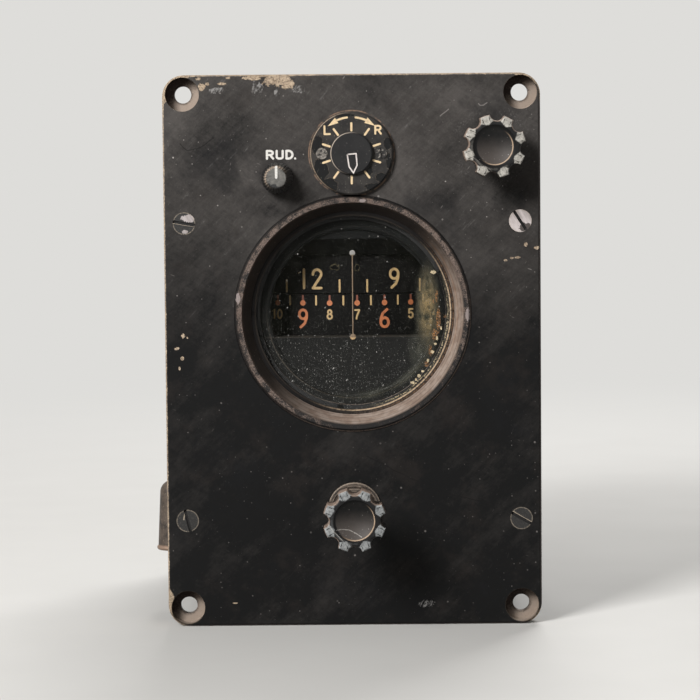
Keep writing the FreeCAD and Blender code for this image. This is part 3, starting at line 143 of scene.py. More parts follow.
class Finish:
    def __init__(self, name, centre=(0, 0, 0)):
        self.material = bpy.data.materials.new(name)
        self.material.use_nodes = True
        self.tree = self.material.node_tree
        self.tree.nodes.clear()
        spot = self.node("ShaderNodeTexCoord", out="Object")
        moved = self.node("ShaderNodeVectorMath", {"operation": "SUBTRACT"},
                          {0: spot, 1: [c * mm for c in centre]})
        self.place = self.node("ShaderNodeVectorMath", {"operation": "SCALE"}, {0: moved, "Scale": 1 / mm})
        self.x = self.node("ShaderNodeSeparateXYZ", {}, {0: self.place})
        self.y = self.x.other("Y")
        self.z = self.x.other("Z")
        self.flat = self.node("ShaderNodeCombineXYZ", {}, {"X": self.x, "Y": self.z})

    def node(self, kind, settings=None, inputs=None, out=0):
        made = self.tree.nodes.new(kind)
        for key, value in (settings or {}).items():
            setattr(made, key, value)
        for key, value in (inputs or {}).items():
            if isinstance(value, Sock):
                self.tree.links.new(value.output, made.inputs[key])
            elif isinstance(value, tuple) and made.inputs[key].type == "RGBA":
                made.inputs[key].default_value = (*value, 1)
            else:
                made.inputs[key].default_value = value
        return Sock(self, made.outputs[out] if made.outputs else None)

    def laid(self, turn=0, stretch=(1, 1, 1), shift=0):
        # the place in a frame turned anticlockwise as seen from the front, with long and short ways
        return self.node("ShaderNodeMapping", {"vector_type": "TEXTURE"},
                         {"Vector": self.place, "Location": (shift * 17, shift * 5, shift * 11),
                          "Rotation": (0, math.radians(-turn), 0), "Scale": stretch})

    def grain(self, scale, detail=5, rough=0.6, turn=0, stretch=(1, 1, 1), shift=0):
        # noise whose features are about 1 / scale millimetres across
        return self.node("ShaderNodeTexNoise", {},
                         {"Vector": self.laid(turn, stretch, shift), "Scale": scale, "Detail": detail,
                          "Roughness": rough})

    def specks(self, scale, share, size, shift=0, turn=0, stretch=(1, 1, 1)):
        # round or long spots in a share of the cells of a flat grid, up to that size of a cell
        laid = self.node("ShaderNodeMapping", {"vector_type": "TEXTURE"},
                         {"Vector": self.flat, "Location": (shift * 17, shift * 11, 0),
                          "Rotation": (0, 0, math.radians(turn)), "Scale": stretch})
        cell = self.node("ShaderNodeTexVoronoi", {"voronoi_dimensions": "2D"},
                         {"Vector": laid, "Scale": scale})
        chance = self.node("ShaderNodeSeparateColor", {}, {0: cell.other("Color")})
        reach = chance.other("Green") * size
        shown = chance.fade(1 - share, 1 - share + 0.02)
        return (cell - reach).fade(size * 0.3, -size * 0.3) * shown * (chance.other("Blue") * 0.7 + 0.3)

    def scratches(self, turn, scale, width, share, shift=0):
        # thin lines where a long-stretched noise passes its middle value, in part of the surface
        line = self.grain(scale, 2, 0.5, turn, (26, 1, 1), shift).near(0.5, width)
        return line * self.grain(0.07, 2, 0.5, shift=shift + 9).fade(1 - share, 1.06 - share)

    def lines(self, ends, wide, wobble=0.5):
        # single long scratches, each from (x, z) to (x, z)
        sway = (self.grain(0.12, 3, 0.5) - 0.5) * wobble * 6
        found = []
        for x0, z0, x1, z1 in ends:
            length = math.hypot(x1 - x0, z1 - z0)
            alongX, alongZ = (x1 - x0) / length, (z1 - z0) / length
            u = self.x - x0
            v = self.z - z0
            along = u * alongX + v * alongZ
            past = along.most(0).least(length) - along
            across = u * alongZ - v * alongX + sway
            found.append((across * across + past * past).root().fade(wide, wide * 0.4))
        return self.strongest(found)

    def strongest(self, masks):
        whole = masks[0]
        for mask in masks[1:]:
            whole = whole.most(mask)
        return whole

    def calc(self, kind, *values):
        return self.node("ShaderNodeMath", {"operation": kind}, dict(enumerate(values)))

    def around(self):
        # distance from the line along Y through the centre
        return (self.x * self.x + self.z * self.z).root()

    def fromSpot(self, x, z, wide=None, high=None):
        # distance from a spot, or from the middle of an oval in shares of its half width and half height
        u = self.x - x
        v = self.z - z
        if wide:
            u = u / wide
            v = v / high
        return (u ** 2 + v ** 2).root()

    def lobes(self, count, turn):
        # 1 at the middle of each of that many lobes round the centre, and -1 between them
        angle = self.calc("ARCTAN2", self.z, self.x)
        return self.calc("COSINE", (angle - math.radians(turn)) * count)

    def toward(self, angle):
        # 1 on the side that lies at that angle, 0 across it and -1 opposite
        turn = math.radians(angle)
        return (self.x * math.cos(turn) + self.z * math.sin(turn)) / self.around().most(0.01)

    def patches(self, spots, ragged=2.2, scale=0.8, shift=0, inner=0.9):
        # tattered spots, each (x, z, half width, half height); a low inner value softens their rims
        rim = (self.grain(scale, 8, 0.72, shift=shift) - 0.5) * ragged
        found = []
        for x, z, wide, high in spots:
            u = (self.x - x) / wide
            v = (self.z - z) / high
            found.append(((u * u + v * v).root() + rim).fade(1.0, inner))
        return self.strongest(found)

    def blend(self, factor, first, second):
        mixed = self.node("ShaderNodeMix", {"data_type": "RGBA"}, {0: factor})
        for index, value in ((6, first), (7, second)):
            socket = mixed.output.node.inputs[index]
            if isinstance(value, Sock):
                self.tree.links.new(value.output, socket)
            else:
                socket.default_value = (*value, 1)
        return mixed.other(2)

    def start(self, factor, first, second):
        self.colour = self.blend(factor, first, second)

    def lay(self, mask, over):
        # another colour on top, where the mask is 1
        self.colour = self.blend(mask, self.colour, over)

    def bump(self, height, depth):
        # depth is in millimetres for a height of 1
        return self.node("ShaderNodeBump", {}, {"Height": height, "Distance": depth * mm})

    def shader(self, **sockets):
        names = {"colour": "Base Color", "rough": "Roughness", "metal": "Metallic", "normal": "Normal",
                 "shine": "Specular IOR Level"}
        return self.node("ShaderNodeBsdfPrincipled", {}, {names[k]: v for k, v in sockets.items()})

    def done(self, surface):
        self.node("ShaderNodeOutputMaterial", {}, {"Surface": surface})
        return self.material

    def coated(self, rough, relief, depth, **more):
        return self.done(self.shader(colour=self.colour, rough=rough, normal=self.bump(relief, depth),
                                     **more))


# Black lacquer of the face plate: hazed and rubbed, chipped to bare metal along its edges, with a painted
# sheen towards the top, painted shade in patches, a painted highlight along its edges and painted light and
# shade in the counterbores
plateLook = {
    # foot is the lacquer low down; head is the lacquer up top, lighter with a painted sheen
    "foot": tone(9, 9, 9), "head": tone(80, 76, 73), "brown": tone(44, 39, 36), "cold": tone(15, 16, 18),
    "bareDark": tone(112, 94, 78), "bareLight": tone(194, 174, 150), "scrape": tone(150, 147, 144),
    # the sink tones are the counterbores' bare metal in painted shade and in painted light
    "sinkShaded": tone(42, 32, 28), "sinkLit": tone(156, 142, 130),
    "speck": tone(206, 198, 192), "cornerRadius": 8.0, "holeRadius": 3.15, "sinkRadius": 6.3,
    # chips as (x, z, half width, half height)
    "chips": [(-55.1, 98.3, 1.5, 1.2), (-56.4, 101.3, 0.9, 0.5), (-53.2, 99.4, 0.7, 0.6),
              (-47.9, 99.4, 1.9, 0.5), (-45.2, 101.6, 0.8, 0.5), (-36.6, 101.5, 3.2, 0.9),
              (-27.0, 100.3, 5.6, 2.0), (-23.4, 98.9, 2.4, 1.5), (64.2, 39.2, 0.7, 0.8),
              (68.3, 38.0, 1.1, 0.6), (61.2, 34.4, 1.2, 0.4), (56.8, 33.4, 0.8, 0.4),
              (-65.4, 1.6, 1.0, 0.5), (-63.2, 6.2, 0.7, 0.9), (-63.6, -2.0, 0.8, 0.8),
              (-61.6, 5.6, 0.4, 0.5), (-64.6, -6.0, 0.4, 0.7), (59.2, 34.2, 0.7, 0.4),
              (-44.9, -94.0, 1.0, 0.25)],
    # places where the bare edge is wider, as (x, z, reach, extra width)
    "wornCorners": [(-66.3, 98.9, 8.0, 3.0), (64.6, 101.4, 5.0, 1.3), (-69.5, -93.5, 5.5, 1.7),
                    (67.0, -99.0, 4.5, 1.0), (-30.0, 102.5, 10.0, 0.6)],
    "scrapes": [(-34.6, 97.6, 2.1, 2.9), (-49.4, 96.9, 2.7, 1.3), (-27.8, 96.2, 0.7, 1.7),
                (-19.0, 97.3, 2.4, 1.4), (26.9, -94.8, 3.0, 1.3), (-57.0, -93.8, 0.8, 0.4)],
    # greasy and dusty areas, as (x, z, half width, half height)
    "dusty": [(14.0, 60.0, 22.0, 26.0), (-30.0, 44.0, 16.0, 14.0), (-38.0, 66.0, 8.0, 12.0),
              (40.0, 92.0, 30.0, 9.0), (42.0, 34.0, 14.0, 10.0), (-64.0, 84.0, 10.0, 12.0),
              (0.0, -38.0, 26.0, 10.0)],
    # dim: darker patches of painted shade that take the painted sheen away; the one at the course knob's
    # lower right is its painted shadow
    "dim": [(-50.0, 78.0, 22.0, 16.0), (32.0, 57.0, 10.0, 6.0), (60.0, 58.0, 10.0, 14.0),
            (-42.0, 84.0, 16.0, 7.0), (-30.0, 52.0, 9.0, 4.0)],
    "lightLines": [(47.1, 91.4, 47.7, 90.8), (47.7, 90.8, 48.9, 90.7), (48.9, 90.7, 50.2, 91.6),
                   (33.2, 86.6, 36.0, 89.4), (14.6, 66.0, 15.4, 70.0)],
    "darkLines": [(5.0, -39.3, 20.0, -47.4), (20.0, -47.4, 39.5, -54.8), (39.5, -54.8, 51.5, -56.8),
                  (-15.8, -100.0, -9.0, -102.6), (-9.0, -102.6, 11.7, -86.9), (-63.4, 77.4, -60.8, 74.9),
                  (-60.8, 74.9, -55.9, 75.8), (-55.9, 75.8, -51.0, 79.6)],
}


def blackLacquer():
    look = plateLook
    f = Finish("blackLacquer")
    inX = abs(f.x) - (plateHalf.x - look["cornerRadius"])
    inZ = abs(f.z) - (plateHalf.z - look["cornerRadius"])
    edge = (inX.most(0) ** 2 + inZ.most(0) ** 2).root() + inX.most(inZ).least(0) - look["cornerRadius"]
    fine = f.grain(1.5, 7, 0.75)
    middling = f.grain(0.32, 7, 0.72, shift=14)
    broad = f.grain(0.022, 3, 0.5, 20, (1, 1, 1.5), 4)
    smudge = f.grain(0.07, 7, 0.68, 42, (2.2, 1, 1), 7)
    hairs = f.grain(0.8, 5, 0.7, 44, (16, 1, 1), 2)
    swirls = f.grain(0.7, 5, 0.7, -30, (14, 1, 1), 27)
    # height runs from 0 low down to 1 up top: the painted sheen grows with it, and dust, scuffs and specks
    # show more under that sheen
    height = f.z.fade(-20, 85)
    dusty = f.patches(look["dusty"], 1.3, 0.06, 5, 0.1)
    # painted shade in patches
    dim = f.patches(look["dim"], 1.2, 0.08, 9, 0.2)
    # a painted sheen rising towards the top, with smudges, greasy dust, mottling and grain over it
    sheenAndHaze = height * 0.62 + (broad - 0.5) * 0.5 + (smudge - 0.5) * 1.0
    sheenAndHaze = sheenAndHaze + dusty * (0.1 + height * 0.26) - dim * 0.3
    mottle = (hairs - 0.5) * 0.6 + (middling - 0.5) * 0.9 + (swirls - 0.5) * 0.5
    sheenAndHaze = sheenAndHaze + mottle * (height * 0.6 + 0.25)
    sheenAndHaze = sheenAndHaze + (fine - 0.5) * (height * 0.5 + 0.16)
    f.start(sheenAndHaze, look["foot"], look["head"])
    f.lay(f.grain(0.06, 7, 0.7, shift=12).fade(0.5, 0.68) * 0.35, look["brown"])
    f.lay(f.grain(0.035, 5, 0.65, -50, (1.6, 1, 1), 15).fade(0.55, 0.68) * 0.5, look["cold"])
    scuffs = f.grain(0.8, 5, 0.7, 48, (9, 1, 1), 19).fade(0.58, 0.72) * middling.fade(0.42, 0.62)
    f.lay(scuffs * smudge.fade(0.42, 0.62) * (height * 0.34 + 0.04), look["scrape"])
    ticks = f.strongest([f.specks(0.30, 0.16, 0.05, 31, 55, (5, 1, 1)),
                         f.specks(0.26, 0.12, 0.05, 33, 75, (6, 1, 1)),
                         f.specks(0.28, 0.12, 0.05, 35, -20, (5, 1, 1))])
    f.lay(ticks * (height * 0.32 + 0.1) * smudge.fade(0.4, 0.66), look["speck"])
    dust = f.strongest([f.specks(0.34, 0.11, 0.08), f.specks(0.9, 0.08, 0.11, 3) * 0.5,
                        f.specks(0.12, 0.26, 0.045, 6)])
    f.lay(dust * (middling * 1.1) * (height * 0.5 + 0.45), look["speck"])
    f.lay(f.lines(look["darkLines"], 0.3, 0.4) * 0.6, tone(9, 8, 8))
    f.lay(f.lines(look["lightLines"], 0.26, 0.35) * 0.22, look["speck"])
    scraped = f.patches(look["scrapes"], 2.6, 0.5, 3)
    scraped = scraped * f.grain(1.2, 5, 0.75, 60, (2.2, 1, 1), 5).fade(0.44, 0.6)
    f.lay(scraped * 0.85, look["scrape"])
    extra = f.strongest([f.fromSpot(x, z).fade(reach, reach * 0.45) * wider
                         for x, z, reach, wider in look["wornCorners"]])
    litLeftAndTop = (f.x.fade(-60, -66) + f.z.fade(88, 96)).least(1)
    ragged = fine * 1.3 + middling * 0.9
    # painted highlight: a light line along every edge, strongest on the left and top, where the light falls
    plateEdgeHighlight = edge.fade(-0.6, -0.25) * (litLeftAndTop * 0.6 + 0.3) * fine.fade(0.3, 0.5)
    # bare metal along the edges: real chips, widened on the left and top as a painted highlight
    rim = (edge + ragged + litLeftAndTop * 0.95 + extra - 1.62).fade(-0.14, 0.14)
    chipped = f.patches(look["chips"], 2.6, 0.8)
    hole = ((abs(f.x) - holeX) ** 2 + (abs(f.z) - holeZ) ** 2).root()
    deep = f.y.fade(plateFront + 0.5, plateFront + 4.5)
    sunk = hole.fade(look["sinkRadius"] + 0.12, look["sinkRadius"] - 0.05) * (deep * 1.4 + fine * 0.6 - 0.15)
    bare = rim.most(chipped).most(sunk)
    metalTone = f.blend(fine.fade(0.3, 0.62) * 0.7 + middling.fade(0.35, 0.6) * 0.4, look["bareDark"],
                        look["bareLight"])
    # painted light and shade in the counterbores: each floor shaded on its upper left and lit on its lower
    # right
    lit = (f.x - f.x.sign() * holeX - f.z + f.z.sign() * holeZ).fade(-5, 5)
    cracks = f.grain(0.9, 4, 0.6, 25, (2, 1, 1), 21).near(0.5, 0.03) * (1 - sunk)
    metalTone = f.blend(cracks * 0.8, metalTone, tone(52, 42, 36))
    metalTone = f.blend(sunk, metalTone, f.blend(lit + (fine - 0.5) * 0.9, look["sinkShaded"],
                                                 look["sinkLit"]))
    f.lay(plateEdgeHighlight, tone(168, 156, 150))
    f.lay(bare, metalTone)
    ringWear = f.fromSpot(dialMid.x, dialMid.z).near(dialRadius + 0.5, 0.4)
    ringWear = ringWear * f.grain(0.3, 5, 0.7, shift=8).fade(0.4, 0.58)
    f.lay(ringWear * 0.7, tone(158, 128, 106))
    knob = middleOf("course_knob")
    rubbed = (f.fromSpot(knob.x, knob.z) + (middling - 0.5) * 9).near(13.5, 2.4)
    f.lay(rubbed * fine.fade(0.54, 0.66) * smudge.fade(0.4, 0.6) * 0.35, look["scrape"])
    grime = (hole - look["holeRadius"]).fade(1.1, -0.1) * fine.fade(0.75, 0.3)
    f.lay(grime, tone(34, 26, 21))
    rough = 0.5 + smudge * 0.25 + fine * 0.08 - bare * 0.08
    relief = fine * 0.3 + hairs * 0.15 + middling * 0.25 - bare * 0.9 - scraped * 0.3
    return f.coated(rough, relief, 0.06, metal=bare * 0.2, shine=0.14)


# Slotted flat heads: worn black, the upper right one bare and the upper left one half bare, with painted
# shade in the slots
screwLook = {
    "black": tone(34, 33, 32), "grey": tone(82, 78, 74), "bright": tone(206, 196, 194),
    "dull": tone(150, 140, 136), "line": tone(172, 158, 140), "headRadius": 4.2,
    "x": 62.3, "upper": 48.0, "lower": -62.9,
    # bare and grimy places as (x, z, half width, half height)
    "halfBare": [(-60.8, 49.9, 2.6, 1.5), (-62.0, 44.9, 1.2, 0.7)], "grime": [(64.2, 45.6, 2.6, 1.6)],
    "slotEdges": [(59.0, -60.2, 65.9, -64.2), (-63.4, -60.0, -63.7, -62.4), (-66.1, 48.2, -58.6, 46.9)],
}


def screwSteel():
    look = screwLook
    f = Finish("plateScrewSteel")
    fromX = abs(f.x) - look["x"]
    fromZ = abs(f.z - (look["upper"] + look["lower"]) / 2) - (look["upper"] - look["lower"]) / 2
    distance = (fromX * fromX + fromZ * fromZ).root()
    fine = f.grain(1.9, 7, 0.72)
    turned = f.grain(0.5, 5, 0.65, 30, (1, 1, 5), 3)
    bright = f.x.fade(-1, 1) * f.z.fade(-1, 1)
    half = f.patches(look["halfBare"], 1.5, 0.8, 4)
    bare = bright.most(half * 0.75)
    f.start(fine.fade(0.5, 0.68) * 0.7, look["black"], look["grey"])
    f.lay(bare, f.blend(turned.fade(0.3, 0.7), look["dull"], look["bright"]))
    ring = distance.near(look["headRadius"] - 0.2, 0.3) * fine.fade(0.38, 0.52)
    f.lay(ring * 0.5, look["line"])
    scuff = f.specks(0.5, 0.3, 0.06, 4, 60, (5, 1, 1)).most(f.lines(look["slotEdges"], 0.3, 0.1) * 0.8)
    f.lay(scuff, look["line"])
    grime = f.patches(look["grime"], 1.8, 0.9, 6)
    f.lay(grime * 0.9, tone(46, 38, 34))
    # painted shade: what lies deeper than the face, the slots and the gap round each head, goes near black
    sunk = f.y.fade(plateFront + 0.15, plateFront + 0.55)
    f.lay(sunk, tone(14, 12, 12))
    return f.coated(0.36 + fine * 0.25, fine + turned * 0.5, 0.03, metal=bare * 0.35, shine=0.35)


# Bezel: black lacquer gone brown, its rim rubbed to pinkish grains, its inner wall with painted shade on the
# upper left and a painted shadow line round its outer edge
bezelLook = {
    "dark": tone(20, 18, 17), "grain": tone(90, 76, 68), "pale": tone(146, 128, 117),
    "wall": tone(164, 148, 136), "wallBrown": tone(134, 115, 102), "rust": tone(170, 118, 70),
    "shade": tone(17, 15, 14), "turnings": (39.2, 40.3, 38.4), "rustRadius": 39.0, "rimWidth": 3.4,
    "chips": [(-42.6, 6.0, 0.9, 2.2), (4.0, 41.9, 1.2, 0.7), (42.6, -0.4, 0.8, 2.8)],
}


def bezelLacquer():
    look = bezelLook
    f = Finish("bezelLacquer", (bezelMid.x, 0, bezelMid.z))
    distance = f.around()
    fine = f.grain(2.6, 7, 0.85)
    medium = f.grain(0.24, 5, 0.65, shift=3)
    rim = distance.fade(bezelRadius - look["rimWidth"], bezelRadius - look["rimWidth"] + 0.9)
    outer = distance.fade(bezelRadius - 1.15, bezelRadius - 0.45)
    bright = f.strongest([f.toward(150).fade(0.2, 0.95), f.toward(215).fade(0.4, 0.95),
                          f.toward(20).fade(0.1, 0.9), f.toward(95).fade(0.7, 1) * 0.8])
    worn = bright * 0.08 - f.toward(-62).fade(0.1, 0.9) * 0.12
    cover = (fine + (medium - 0.5) * 0.9 + worn).fade(0.47, 0.64)
    rubbed = f.blend((fine + bright * 0.12).fade(0.56, 0.76), look["grain"], look["pale"])
    rimTone = f.blend(cover, look["dark"], rubbed)
    wall = f.blend(medium.fade(0.35, 0.65), look["wall"], look["wallBrown"])
    wall = f.blend((fine - 0.5).most(0) * 1.2, wall, look["pale"])
    shaded = f.blend(0.95, wall, look["shade"])
    wall = f.blend(f.toward(-45).fade(-0.2, 0.75), shaded, wall)
    turnings = f.strongest([distance.near(radius, 0.2) for radius in look["turnings"]])
    wall = f.blend(turnings * fine * 0.7, wall, tone(20, 17, 15))
    f.start(rim, wall, rimTone)
    # painted shadow line: a near-black band round the outer edge
    f.lay(outer * 0.95, tone(13, 12, 12))
    hair = distance.near(bezelRadius - 0.25, 0.3) * f.toward(-60).fade(0.2, 0.9) * fine.fade(0.4, 0.55)
    f.lay(hair, look["pale"])
    rustLine = distance.near(look["rustRadius"], 0.5) * f.toward(8).fade(0.75, 0.98) * fine.fade(0.35, 0.6)
    f.lay(rustLine * 0.3, look["rust"])
    f.lay(f.patches(look["chips"], 2.0, 0.9, 2) * 0.6, tone(178, 164, 160))
    f.lay(f.specks(0.6, 0.3, 0.09).most(f.specks(1.1, 0.2, 0.1, 4)) * 0.6, look["pale"])
    return f.coated(0.4 + fine * 0.3, fine * (0.25 + rim * 0.75), 0.16, shine=0.25)


# Retaining ring: nearly black, greyer towards the lower right with painted light, a painted highlight line
# there and a little rust low down
retainingLook = {
    "dark": tone(13, 12, 12), "worn": tone(84, 76, 70), "line": tone(206, 180, 150),
    "rust": tone(150, 108, 72), "lineRadius": 36.5, "rustRadius": 37.5,
}


def retainingMetal():
    look = retainingLook
    f = Finish("retainingMetal", (bezelMid.x, 0, bezelMid.z))
    distance = f.around()
    fine = f.grain(1.8, 6, 0.74)
    lower = f.toward(-35).fade(0.1, 0.9)
    # painted light: worn grey that shows mostly towards the lower right
    f.start(fine.fade(0.3, 0.7) * (lower * 0.85 + 0.08), look["dark"], look["worn"])
    # painted highlight: a bright line on the lower right of the ring
    line = distance.near(look["lineRadius"], 0.4) * (lower * 1.2 + 0.03) * fine.fade(0.3, 0.56)
    f.lay(line, look["line"])
    rust = distance.near(look["rustRadius"], 0.5) * f.toward(-20).fade(0.3, 0.9) * fine.fade(0.4, 0.6)
    f.lay(rust * 0.45, look["rust"])
    return f.coated(0.45 + fine * 0.3, fine, 0.06, shine=0.1)


# Window glass: clear, dusty, with a green-gold bloom at the right and debris along its lower rim
glassLook = {
    "green": tone(84, 86, 72), "gold": tone(158, 136, 96), "pale": tone(104, 104, 92),
    "rust": tone(172, 118, 70), "dust": tone(206, 204, 198), "crumb": tone(218, 198, 162),
    # bloom and rust as (x, z, half width, half height) from the middle of the window
    "bloom": (28.0, 1.5, 4.4, 16.0), "lowerBloom": (25.5, -14.0, 6.5, 9.0),
    "rustSpots": [(32.0, -3.0, 0.8, 4.6), (30.6, -8.4, 1.0, 2.2), (29.0, -14.5, 0.7, 2.2),
                  (27.4, -19.6, 0.9, 1.1), (34.6, -1.8, 0.6, 0.5), (31.4, 6.0, 0.5, 2.4)],
    "crumbs": [(26.0, -22.3, 0.5, 0.4), (28.0, -18.2, 0.5, 0.5), (23.4, -25.3, 0.4, 0.4),
               (31.4, -9.8, 0.4, 0.7), (30.8, -12.0, 0.5, 0.4), (33.0, -6.0, 0.3, 0.6),
               (30.2, 14.9, 1.0, 0.6), (29.6, -15.0, 0.7, 0.5), (24.6, -24.0, 0.6, 0.6),
               (22.2, -26.5, 0.8, 0.5)],
}


def windowGlass():
    look = glassLook
    f = Finish("windowGlass", (bezelMid.x, 0, bezelMid.z))
    distance = f.around()
    fine = f.grain(1.4, 7, 0.78)
    mottle = f.grain(0.4, 8, 0.8, 85, (1.9, 1, 1), 6)
    cloud = f.grain(0.14, 7, 0.7, 80, (2.0, 1, 1), 3)
    bloom = (f.fromSpot(*look["bloom"]) + (mottle - 0.5) * 2.4 + (fine - 0.5) * 0.8).fade(1.3, 0.3)
    lower = f.fromSpot(*look["lowerBloom"]) + (mottle - 0.5) * 1.5
    lower = lower.fade(1.1, 0.3)
    rimVeil = distance.near(31.5, 2.6) * f.toward(-40).fade(0.3, 0.9) * cloud.fade(0.35, 0.6)
    veil = 0.01 + cloud.fade(0.45, 0.75) * 0.025
    rust = f.patches(look["rustSpots"], 2.6, 0.7, 4) * fine.fade(0.44, 0.6)
    crumbs = f.patches(look["crumbs"], 3.6, 1.9, 4) * fine.fade(0.36, 0.52)
    rimDebris = (distance + (mottle - 0.5) * 3.2).near(35.6, 0.7) * f.toward(-30).fade(0.5, 0.9)
    rimDebris = rimDebris * fine.fade(0.46, 0.56)
    low = f.z.fade(4, -18)
    dust = f.specks(0.9, 0.22, 0.12).most(f.specks(1.7, 0.2, 0.16, 7)) * (0.3 + low * 0.66)
    dust = dust * cloud.fade(0.28, 0.5)
    dust = f.strongest([dust, f.specks(0.3, 0.3, 0.055, 9),
                        f.specks(0.45, 0.1, 0.07, 11, 50, (3, 1, 1)) * 0.7])
    mask = f.strongest([veil, bloom * (0.12 + mottle.fade(0.34, 0.66) * 0.62),
                        lower * mottle.fade(0.38, 0.6) * 0.26,
                        rimVeil * 0.2, rust * 0.8, rimDebris * 0.9, dust * 0.66, crumbs * 0.95])
    f.start(bloom, look["pale"], f.blend(mottle.fade(0.42, 0.56), look["green"], look["gold"]))
    f.lay(rust, look["rust"])
    f.lay(dust.fade(0.05, 0.2), look["dust"])
    f.lay(rimDebris.most(crumbs), look["crumb"])
    body = f.shader(colour=f.colour, rough=0.3 + dust * 0.4 + bloom * 0.3, shine=0.25)
    clear = f.node("ShaderNodeBsdfTransparent")
    return f.done(f.node("ShaderNodeMixShader", {}, {0: mask, 1: clear, 2: body}))


# Dial mask: flat black, greyer and finely pitted low down, with a painted highlight line along its bead,
# strongest low down
maskLook = {
    "black": tone(15, 16, 16), "grey": tone(28, 28, 27), "line": tone(122, 113, 101), "beadRadius": 32.3,
    "lipRadius": 34.85, "sillHeight": -9.3,
}


def maskBlack():
    look = maskLook
    f = Finish("maskBlack", (bezelMid.x, 0, bezelMid.z))
    distance = f.around()
    fine = f.grain(1.5, 7, 0.75)
    broad = f.grain(0.07, 6, 0.66)
    f.start(f.z.fade(4, -18) * 0.9 + (broad - 0.5) * 0.8, look["black"], look["grey"])
    low = f.toward(-90).fade(-0.1, 0.6)
    # painted highlight: a light line along the bead and the lip, strongest low down
    bead = distance.near(look["beadRadius"], 0.4).most(distance.near(look["lipRadius"], 0.3) * 0.6)
    f.lay(bead * (low * 0.5 + 0.05) * fine.fade(0.34, 0.62), look["line"])
    dust = f.strongest([f.specks(1.1, 0.3, 0.2), f.specks(2.0, 0.3, 0.24, 5), f.specks(0.6, 0.2, 0.12, 8)])
    dust = dust * (0.04 + f.z.fade(-10, -22) * 0.6) * f.grain(0.12, 6, 0.7, shift=8).fade(0.34, 0.56)
    f.lay(dust, tone(140, 140, 136))
    sill = f.z.near(look["sillHeight"], 0.5) * 0.25
    f.lay(sill * fine, look["line"])
    return f.coated(0.55 + fine * 0.2, fine, 0.05, shine=0.1)


# Number cards: flat black, with two old drops on the upper one
cardLook = {
    "black": tone(8, 8, 9), "worn": tone(18, 17, 16), "dust": tone(150, 148, 140),
    "drops": [(-6.6, 30.6, 1.9, 1.3), (1.9, 30.3, 1.1, 1.1)],
}


def cardBlack():
    look = cardLook
    f = Finish("cardBlack")
    fine = f.grain(1.5, 7, 0.74)
    f.start(fine.fade(0.3, 0.75), look["black"], look["worn"])
    dust = f.specks(0.7, 0.25, 0.08).most(f.specks(1.6, 0.2, 0.1, 5) * 0.6)
    f.lay(dust * 0.6 + f.scratches(50, 0.8, 0.008, 0.4) * 0.15, look["dust"])
    drops = f.patches(look["drops"], 3.4, 0.7, 14, 0.5) * f.y.fade(30, 20)
    f.lay(drops.near(0.35, 0.35) * fine.fade(0.34, 0.54) * 0.55, tone(150, 138, 106))
    f.lay(drops.fade(0.6, 0.9), tone(3, 3, 3))
    return f.coated(0.55 + fine * 0.2, fine, 0.04, shine=0.06)


def paint(name, colour, worn, amount=0.35):
    f = Finish(name)
    fine = f.grain(1.9, 5, 0.7)
    dirt = f.grain(0.5, 5, 0.7, shift=4).fade(0.5, 0.7) * amount
    f.start(fine.fade(0.3, 0.7), dimmed(colour, 0.78), colour)
    f.lay(dirt, worn)
    return f.coated(0.5 + fine * 0.2, fine, 0.05)


# Turn dial: dark grey, flaked to black round its rim and beside the pointer, with painted highlights on the
# left of its rim and of the pointer disc's edge
dialLook = {
    "dark": tone(36, 34, 33), "light": tone(56, 53, 50), "flake": tone(6, 6, 6),
    "line": tone(176, 156, 134), "discRadius": 7.7,
    "flakes": [(-12.6, 3.2, 2.6, 3.6), (-11.4, -6.2, 2.8, 4.8), (-8.4, -11.4, 3.4, 2.6),
               (6.2, -6.6, 1.8, 2.0), (13.4, 3.6, 1.5, 2.2), (11.4, -9.0, 2.8, 1.8),
               (8.0, -12.4, 3.0, 1.4), (-2.6, 14.0, 4.0, 0.7), (13.8, -3.0, 1.0, 3.0)],
}


def dialBlack():
    look = dialLook
    f = Finish("dialBlack", (dialMid.x, 0, dialMid.z))
    distance = f.around()
    fine = f.grain(1.7, 7, 0.74)
    smooth = f.grain(0.2, 5, 0.6)
    f.start(smooth.fade(0.35, 0.65), look["dark"], look["light"])
    flakes = f.patches(look["flakes"], 1.5, 0.35, 6)
    plate = distance.fade(look["discRadius"] + 0.4, look["discRadius"] + 0.8)
    f.lay(flakes * plate, look["flake"])
    f.lay(flakes.near(0.5, 0.4) * plate * 0.3, look["line"])
    # painted highlight: a light line along the left of the dial's rim
    dialRimHighlight = distance.near(dialRadius - 0.15, 0.35) * f.toward(170).fade(0.1, 0.7) * fine.fade(0.35, 0.52)
    f.lay(dialRimHighlight * 0.8, look["line"])
    disc = distance.fade(look["discRadius"] + 0.25, look["discRadius"])
    f.lay(disc * 0.85, f.blend(smooth, tone(22, 22, 23), tone(34, 34, 35)))
    # painted highlight on the left of the pointer disc's edge
    discEdge = distance.near(look["discRadius"] - 0.05, 0.28) * f.toward(165).fade(-0.2, 0.8)
    f.lay(discEdge * (fine + 0.4), tone(186, 172, 158))
    scuffs = f.scratches(65, 0.5, 0.02, 0.35, 3) * 0.2
    dust = f.specks(0.9, 0.3, 0.1).most(f.specks(0.4, 0.3, 0.06, 2))
    f.lay(dust * 0.55 + scuffs, tone(190, 182, 168))
    return f.coated(0.45 + fine * 0.25, fine * 0.5 - flakes * plate * 0.7, 0.06, shine=0.2)


